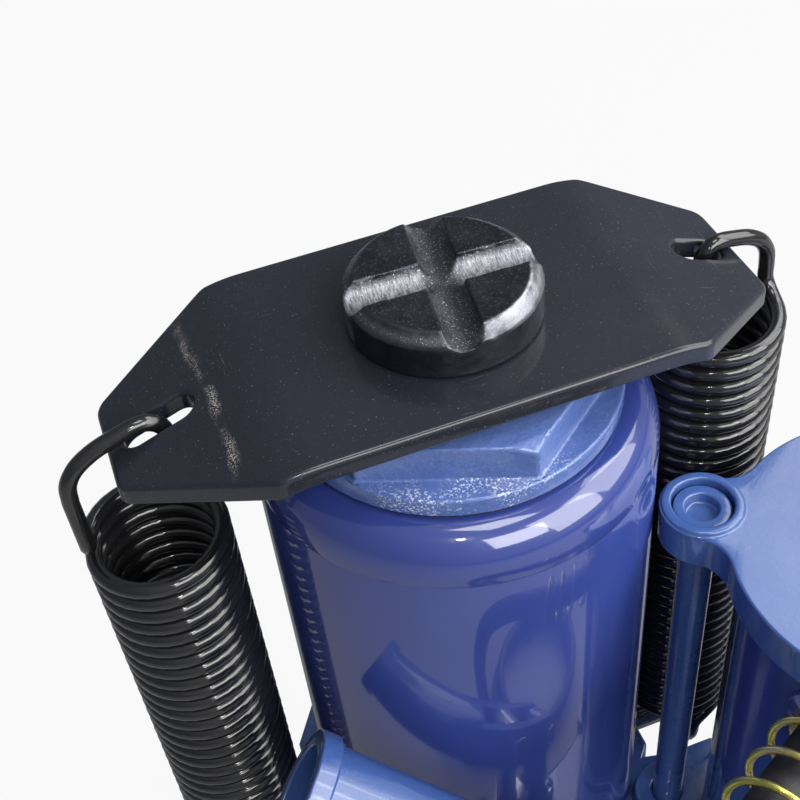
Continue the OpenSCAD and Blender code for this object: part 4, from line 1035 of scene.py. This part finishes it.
class JACK_OT_hose(bpy.types.Operator):
    """Lays the air hose from the motor down to the floor, into its coil and to the valve"""

    bl_idname = "jack.hose"
    bl_label = "Air hose"

    def execute(self, context):
        sizes = context.scene.jack_sizes
        points = hose_route()
        line = bpy.data.curves.new("air_hose_run", "CURVE")
        line.dimensions = "3D"
        line.bevel_depth = sizes.hose / 2
        line.bevel_resolution = 5
        line.resolution_u = 6
        line.use_fill_caps = True
        spline = line.splines.new("BEZIER")
        spline.bezier_points.add(len(points) - 1)
        for knot, at in zip(spline.bezier_points, points):
            knot.co = at
            knot.handle_left_type = knot.handle_right_type = "AUTO"
        hose = show("air_hose_run", line)
        settle(hose, "black_rubber", "air_hose", "hose_coil", "hose_tail")
        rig.ride(hose, "base")
        length = sum((b - a).length for a, b in zip(points, points[1:]))
        with_hose = [frame["nodes"]["lever_pin"]]
        for node, kind, width in (
            ("hose_ferrule", "turned_brass", 0.8), ("valve_body", "satin_alloy", 0.5),
            ("valve_lever", "yellow_zinc", 0.5), ("valve_stem", "turned_brass", 0.3),
            ("coil_straps", "strap_cloth", 0.25),
        ):
            with_hose.append(soften(node, kind, width * MM, 2))
        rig.cord(hose, exit=points[0], length=length, diameter=sizes.hose, far_end="fitting",
                stiffness="medium", lay="coiled", with_pieces=with_hose)
        return {"FINISHED"}


class JACK_OT_guard(bpy.types.Operator):
    """Winds the yellow guard spring round the hose at the motor"""

    bl_idname = "jack.guard"
    bl_label = "Hose guard"

    def execute(self, context):
        sizes = context.scene.jack_sizes
        r, start, pitch, turns, per_turn = sizes.guard_radius, 44.2 * MM, 10.8 * MM, 4, 36
        points = []
        for i in range(turns * per_turn + 1):
            a = 2 * math.pi * i / per_turn
            points.append(out_of_motor(start + pitch * i / per_turn, r * math.sin(a), -r * math.cos(a)))
        guard = wire("hose_guard_wire", points, sizes.guard_wire, 3)
        settle(guard, "yellow_zinc", "hose_guard")
        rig.ride(guard, "base")
        return {"FINISHED"}


class JACK_OT_springs(bpy.types.Operator):
    """Winds the two return springs, which stretch as the ram rises, and the air motor's spring"""

    bl_idname = "jack.springs"
    bl_label = "Springs"

    def execute(self, context):
        sizes = context.scene.jack_sizes
        for side, node, x, top in SPRINGS:
            points, shares = spring_points(sizes, top, x - HOOK_IN)
            axis = Vector((side * x, SPRING_Y, 0))
            wound = [Vector((side * p.x, side * p.y, p.z)) + axis for p in points]
            spring = wire(node + "_wire", wound, sizes.spring_wire, 4)
            settle(spring, "spring_black", node)
            stretch(spring, "ram", shares, SPRING_LOW, top)
        self.motor_spring(sizes)
        return {"FINISHED"}

    def motor_spring(self, sizes):
        """The spring under the air piston, which closes as the piston comes down."""
        (left, front, low), (right, back, high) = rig.box("motor_spring")
        thick, turns = 3.4 * MM, 8
        r = (right - left - thick) / 2
        low, high = low + thick / 2, high - thick / 2
        middle = Vector(((left + right) / 2, (front + back) / 2, low))
        steps = turns * sizes.curl_points
        shares = [i / steps for i in range(steps + 1)]
        points = []
        for share in shares:
            a = 2 * math.pi * turns * share
            points.append(middle + Vector((r * math.cos(a), r * math.sin(a), (high - low) * share)))
        spring = wire("motor_spring_wire", points, thick, 2)
        settle(spring, "ground_steel", "motor_spring")
        stretch(spring, "air_piston", shares, low, high)


class JACK_OT_reservoir(bpy.types.Operator):
    """Turns the reservoir with its drawn shoulder and seam, and dresses the tank nut"""

    bl_idname = "jack.reservoir"
    bl_label = "Reservoir and nut"

    def execute(self, context):
        low, top, r, wall, mouth = 29.0, 225.0, 55.2, 4.0, 40.25
        shoulder_w, shoulder_h, groove, chamfer = 10.2, 14.0, 0.22, 0.5
        seam = top - shoulder_h
        profile = [
            (r - wall, low), (r - chamfer, low), (r, low + chamfer), (r, seam - 1.0),
            (r - groove, seam - 0.6), (r - groove, seam - 0.2), (r, seam + 0.2),
        ]
        for a in arc_points(0, math.pi / 2, 24)[1:]:
            profile.append((
                r - shoulder_w + shoulder_w * math.cos(a), seam + shoulder_h * math.sin(a)))
        profile += [(mouth, top), (mouth, top - wall), (r - wall, seam)]
        tank = spun("reservoir_shell", [(a * MM, z * MM) for a, z in profile], 192)
        settle(tank, "blue_enamel", "tank")
        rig.ride(tank, "base")
        soften("tank_nut", "nut_enamel", 0.8 * MM, 3, 25)
        soften("filler_plug", "black_rubber", context.scene.jack_sizes.small_edge)
        return {"FINISHED"}


class JACK_OT_plate(bpy.types.Operator):
    """Rounds and paints the bent spring plate, with rubbed edges and painted shade on their sides"""

    bl_idname = "jack.plate"
    bl_label = "Spring plate"

    def execute(self, context):
        sizes = context.scene.jack_sizes
        bm = merged_copy("spring_plate")
        round_edges(bm, sizes.plate_edge, 4)
        bm.normal_update()
        # Faces that stand sideways take the darker edge finish, a painted shade with rubbed streaks.
        for face in bm.faces:
            face.material_index = 1 if -0.9 < face.normal.z < 0.45 else 0
        plate = even_shading(mesh_piece("spring_plate_finish", bm))
        settle(plate, ("plate_enamel", "worn_edge"), "spring_plate")
        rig.ride(plate, "ram")
        return {"FINISHED"}


class JACK_OT_saddle(bpy.types.Operator):
    """Forges the saddle with rough, broken edges and threads the extension screw"""

    bl_idname = "jack.saddle"
    bl_label = "Saddle and screw"

    def execute(self, context):
        bm = merged_copy("saddle")
        join_flats(bm)
        bmesh.ops.triangulate(bm, faces=bm.faces)
        saddle = mesh_piece("saddle_forging", bm)
        remesh = saddle.modifiers.new("skin", "REMESH")
        remesh.mode = "VOXEL"
        remesh.voxel_size = 0.45 * MM
        graph = context.evaluated_depsgraph_get()
        mesh = bpy.data.meshes.new_from_object(saddle.evaluated_get(graph))
        saddle.modifiers.clear()
        bm = bmesh.new()
        bm.from_mesh(mesh)
        for _ in range(3):
            bmesh.ops.smooth_vert(
                bm, verts=bm.verts, factor=0.5, use_axis_x=True, use_axis_y=True, use_axis_z=True)
        bm.normal_update()
        fine, coarse = 420, 130
        for v in bm.verts:
            rough = noise.noise(v.co * fine) * 0.10 + noise.noise(v.co * coarse) * 0.12
            v.co -= v.normal * (0.08 + rough) * MM if v.co.z > SADDLE_LOW else Vector()
        bm.to_mesh(saddle.data)
        bm.free()
        saddle.data.shade_smooth()
        settle(saddle, "saddle_steel", "saddle")
        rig.ride(saddle, "extension_screw")
        self.screw(context.scene.jack_sizes)
        return {"FINISHED"}

    def screw(self, sizes):
        """The screw's thread, spun up from below its foot and cut off level at both ends."""
        lead, root, crest, per_turn = sizes.lead, 15.0 * MM, 16.9 * MM, 48
        low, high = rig.box("extension_screw")[0][2], SCREW_TOP
        turns = int((high - low) / lead) + 2
        bm = bmesh.new()
        start = low - lead
        shape = [(root, 0), (root, 0.22), (crest, 0.42), (crest, 0.78), (root, 1.0)]
        points = [bm.verts.new((r, 0, start + t * lead)) for r, t in shape]
        edges = [bm.edges.new(pair) for pair in zip(points, points[1:])]
        bmesh.ops.spin(
            bm, geom=points + edges, cent=(0, 0, 0), axis=(0, 0, 1), dvec=(0, 0, lead / per_turn),
            angle=2 * math.pi * turns, steps=per_turn * turns, use_merge=False, use_duplicate=False)
        bmesh.ops.remove_doubles(bm, verts=bm.verts, dist=2e-6)
        for z, up in ((low, -1), (high, 1)):
            cut = bmesh.ops.bisect_plane(
                bm, geom=bm.verts[:] + bm.edges[:] + bm.faces[:], plane_co=(0, 0, z),
                plane_no=(0, 0, up), clear_outer=True)
            rim = [g for g in cut["geom_cut"] if isinstance(g, bmesh.types.BMEdge)]
            bmesh.ops.holes_fill(bm, edges=rim, sides=0)
        bmesh.ops.recalc_face_normals(bm, faces=bm.faces)
        screw = mesh_piece("extension_screw_thread", bm, 30)
        settle(screw, "dark_screw", "extension_screw")
        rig.ride(screw, "extension_screw")


class JACK_OT_pump(bpy.types.Operator):
    """Rounds and paints the hand pump, its socket and its linkage"""

    bl_idname = "jack.pump"
    bl_label = "Hand pump"

    def execute(self, context):
        sizes = context.scene.jack_sizes
        soften("handle_socket", "cast_enamel", sizes.edge)
        soften("fulcrum_link", "cast_enamel", sizes.edge)
        soften("pump_barrel", "blue_enamel", sizes.edge)
        for node in ("pump_gland", "pump_plunger", "plunger_pin", "fulcrum_pin", "link_pin"):
            soften(node, "ground_steel", sizes.small_edge, 2)
        return {"FINISHED"}


class JACK_OT_motor(bpy.types.Operator):
    """Rounds and paints the air motor, its cover, its tie bolts and its fittings"""

    bl_idname = "jack.motor"
    bl_label = "Air motor"

    def execute(self, context):
        sizes = context.scene.jack_sizes
        soften("motor_cover", "cast_enamel", sizes.edge)
        soften("motor_cylinder", "blue_enamel", sizes.small_edge, 2)
        soften("motor_tie_bolts", "cast_enamel", sizes.edge)
        for node in ("exhaust_muffler", "hose_fitting"):
            soften(node, "turned_brass", sizes.small_edge, 2)
        return {"FINISHED"}


class JACK_OT_base(bpy.types.Operator):
    """Rounds and paints the base casting, and dresses its screws and bolts and the ram"""

    bl_idname = "jack.base"
    bl_label = "Base"

    def execute(self, context):
        sizes = context.scene.jack_sizes
        soften("base_casting", "cast_enamel", sizes.cast_edge)
        for node in ("spring_anchor_bolts", "release_valve", "safety_valve_screw", "ram"):
            soften(node, "ground_steel", sizes.small_edge, 2)
        return {"FINISHED"}


class JACK_OT_inside(bpy.types.Operator):
    """Gives every frame piece that still shows its own finish"""

    bl_idname = "jack.inside"
    bl_label = "Inner pieces"

    def execute(self, context):
        for name, piece in frame["nodes"].items():
            if piece.hide_render:
                continue
            piece.data.materials.clear()
            piece.data.materials.append(finish(SLOT_FINISH[SLOT_OF[name]]))
        return {"FINISHED"}


class JACK_PT_panel(bpy.types.Panel):
    """Lists the jack's pieces, sizes and colours"""

    bl_idname = "JACK_PT_panel"
    bl_label = "Bottle Jack"
    bl_space_type = "VIEW_3D"
    bl_region_type = "UI"
    bl_category = "Jack"

    def draw(self, context):
        for operator in OPERATORS:
            self.layout.operator(operator.bl_idname)
        for group in (context.scene.jack_sizes, context.scene.jack_colours):
            box = self.layout.box()
            for name in group.__annotations__:
                box.prop(group, name)


OPERATORS = (
    JACK_OT_stage, JACK_OT_hose, JACK_OT_guard, JACK_OT_springs, JACK_OT_reservoir, JACK_OT_plate,
    JACK_OT_saddle, JACK_OT_pump, JACK_OT_motor, JACK_OT_base, JACK_OT_inside,
)
CLASSES = (JackSizes, JackColours, *OPERATORS, JACK_PT_panel)


def register():
    for cls in CLASSES:
        bpy.utils.register_class(cls)
    bpy.types.Scene.jack_sizes = PointerProperty(type=JackSizes)
    bpy.types.Scene.jack_colours = PointerProperty(type=JackColours)


def unregister():
    del bpy.types.Scene.jack_colours
    del bpy.types.Scene.jack_sizes
    for cls in reversed(CLASSES):
        bpy.utils.unregister_class(cls)


def main():
    register()
    bpy.ops.jack.stage()
    bpy.ops.jack.hose()
    bpy.ops.jack.guard()
    bpy.ops.jack.springs()
    bpy.ops.jack.reservoir()
    bpy.ops.jack.plate()
    bpy.ops.jack.saddle()
    bpy.ops.jack.pump()
    bpy.ops.jack.motor()
    bpy.ops.jack.base()
    bpy.ops.jack.inside()
    with open("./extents.json", "w") as out:
        json.dump({"cad": CAD_BOX, "visual": [list(corner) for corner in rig.bounds()]}, out)


if __name__ == "__main__":
    main()
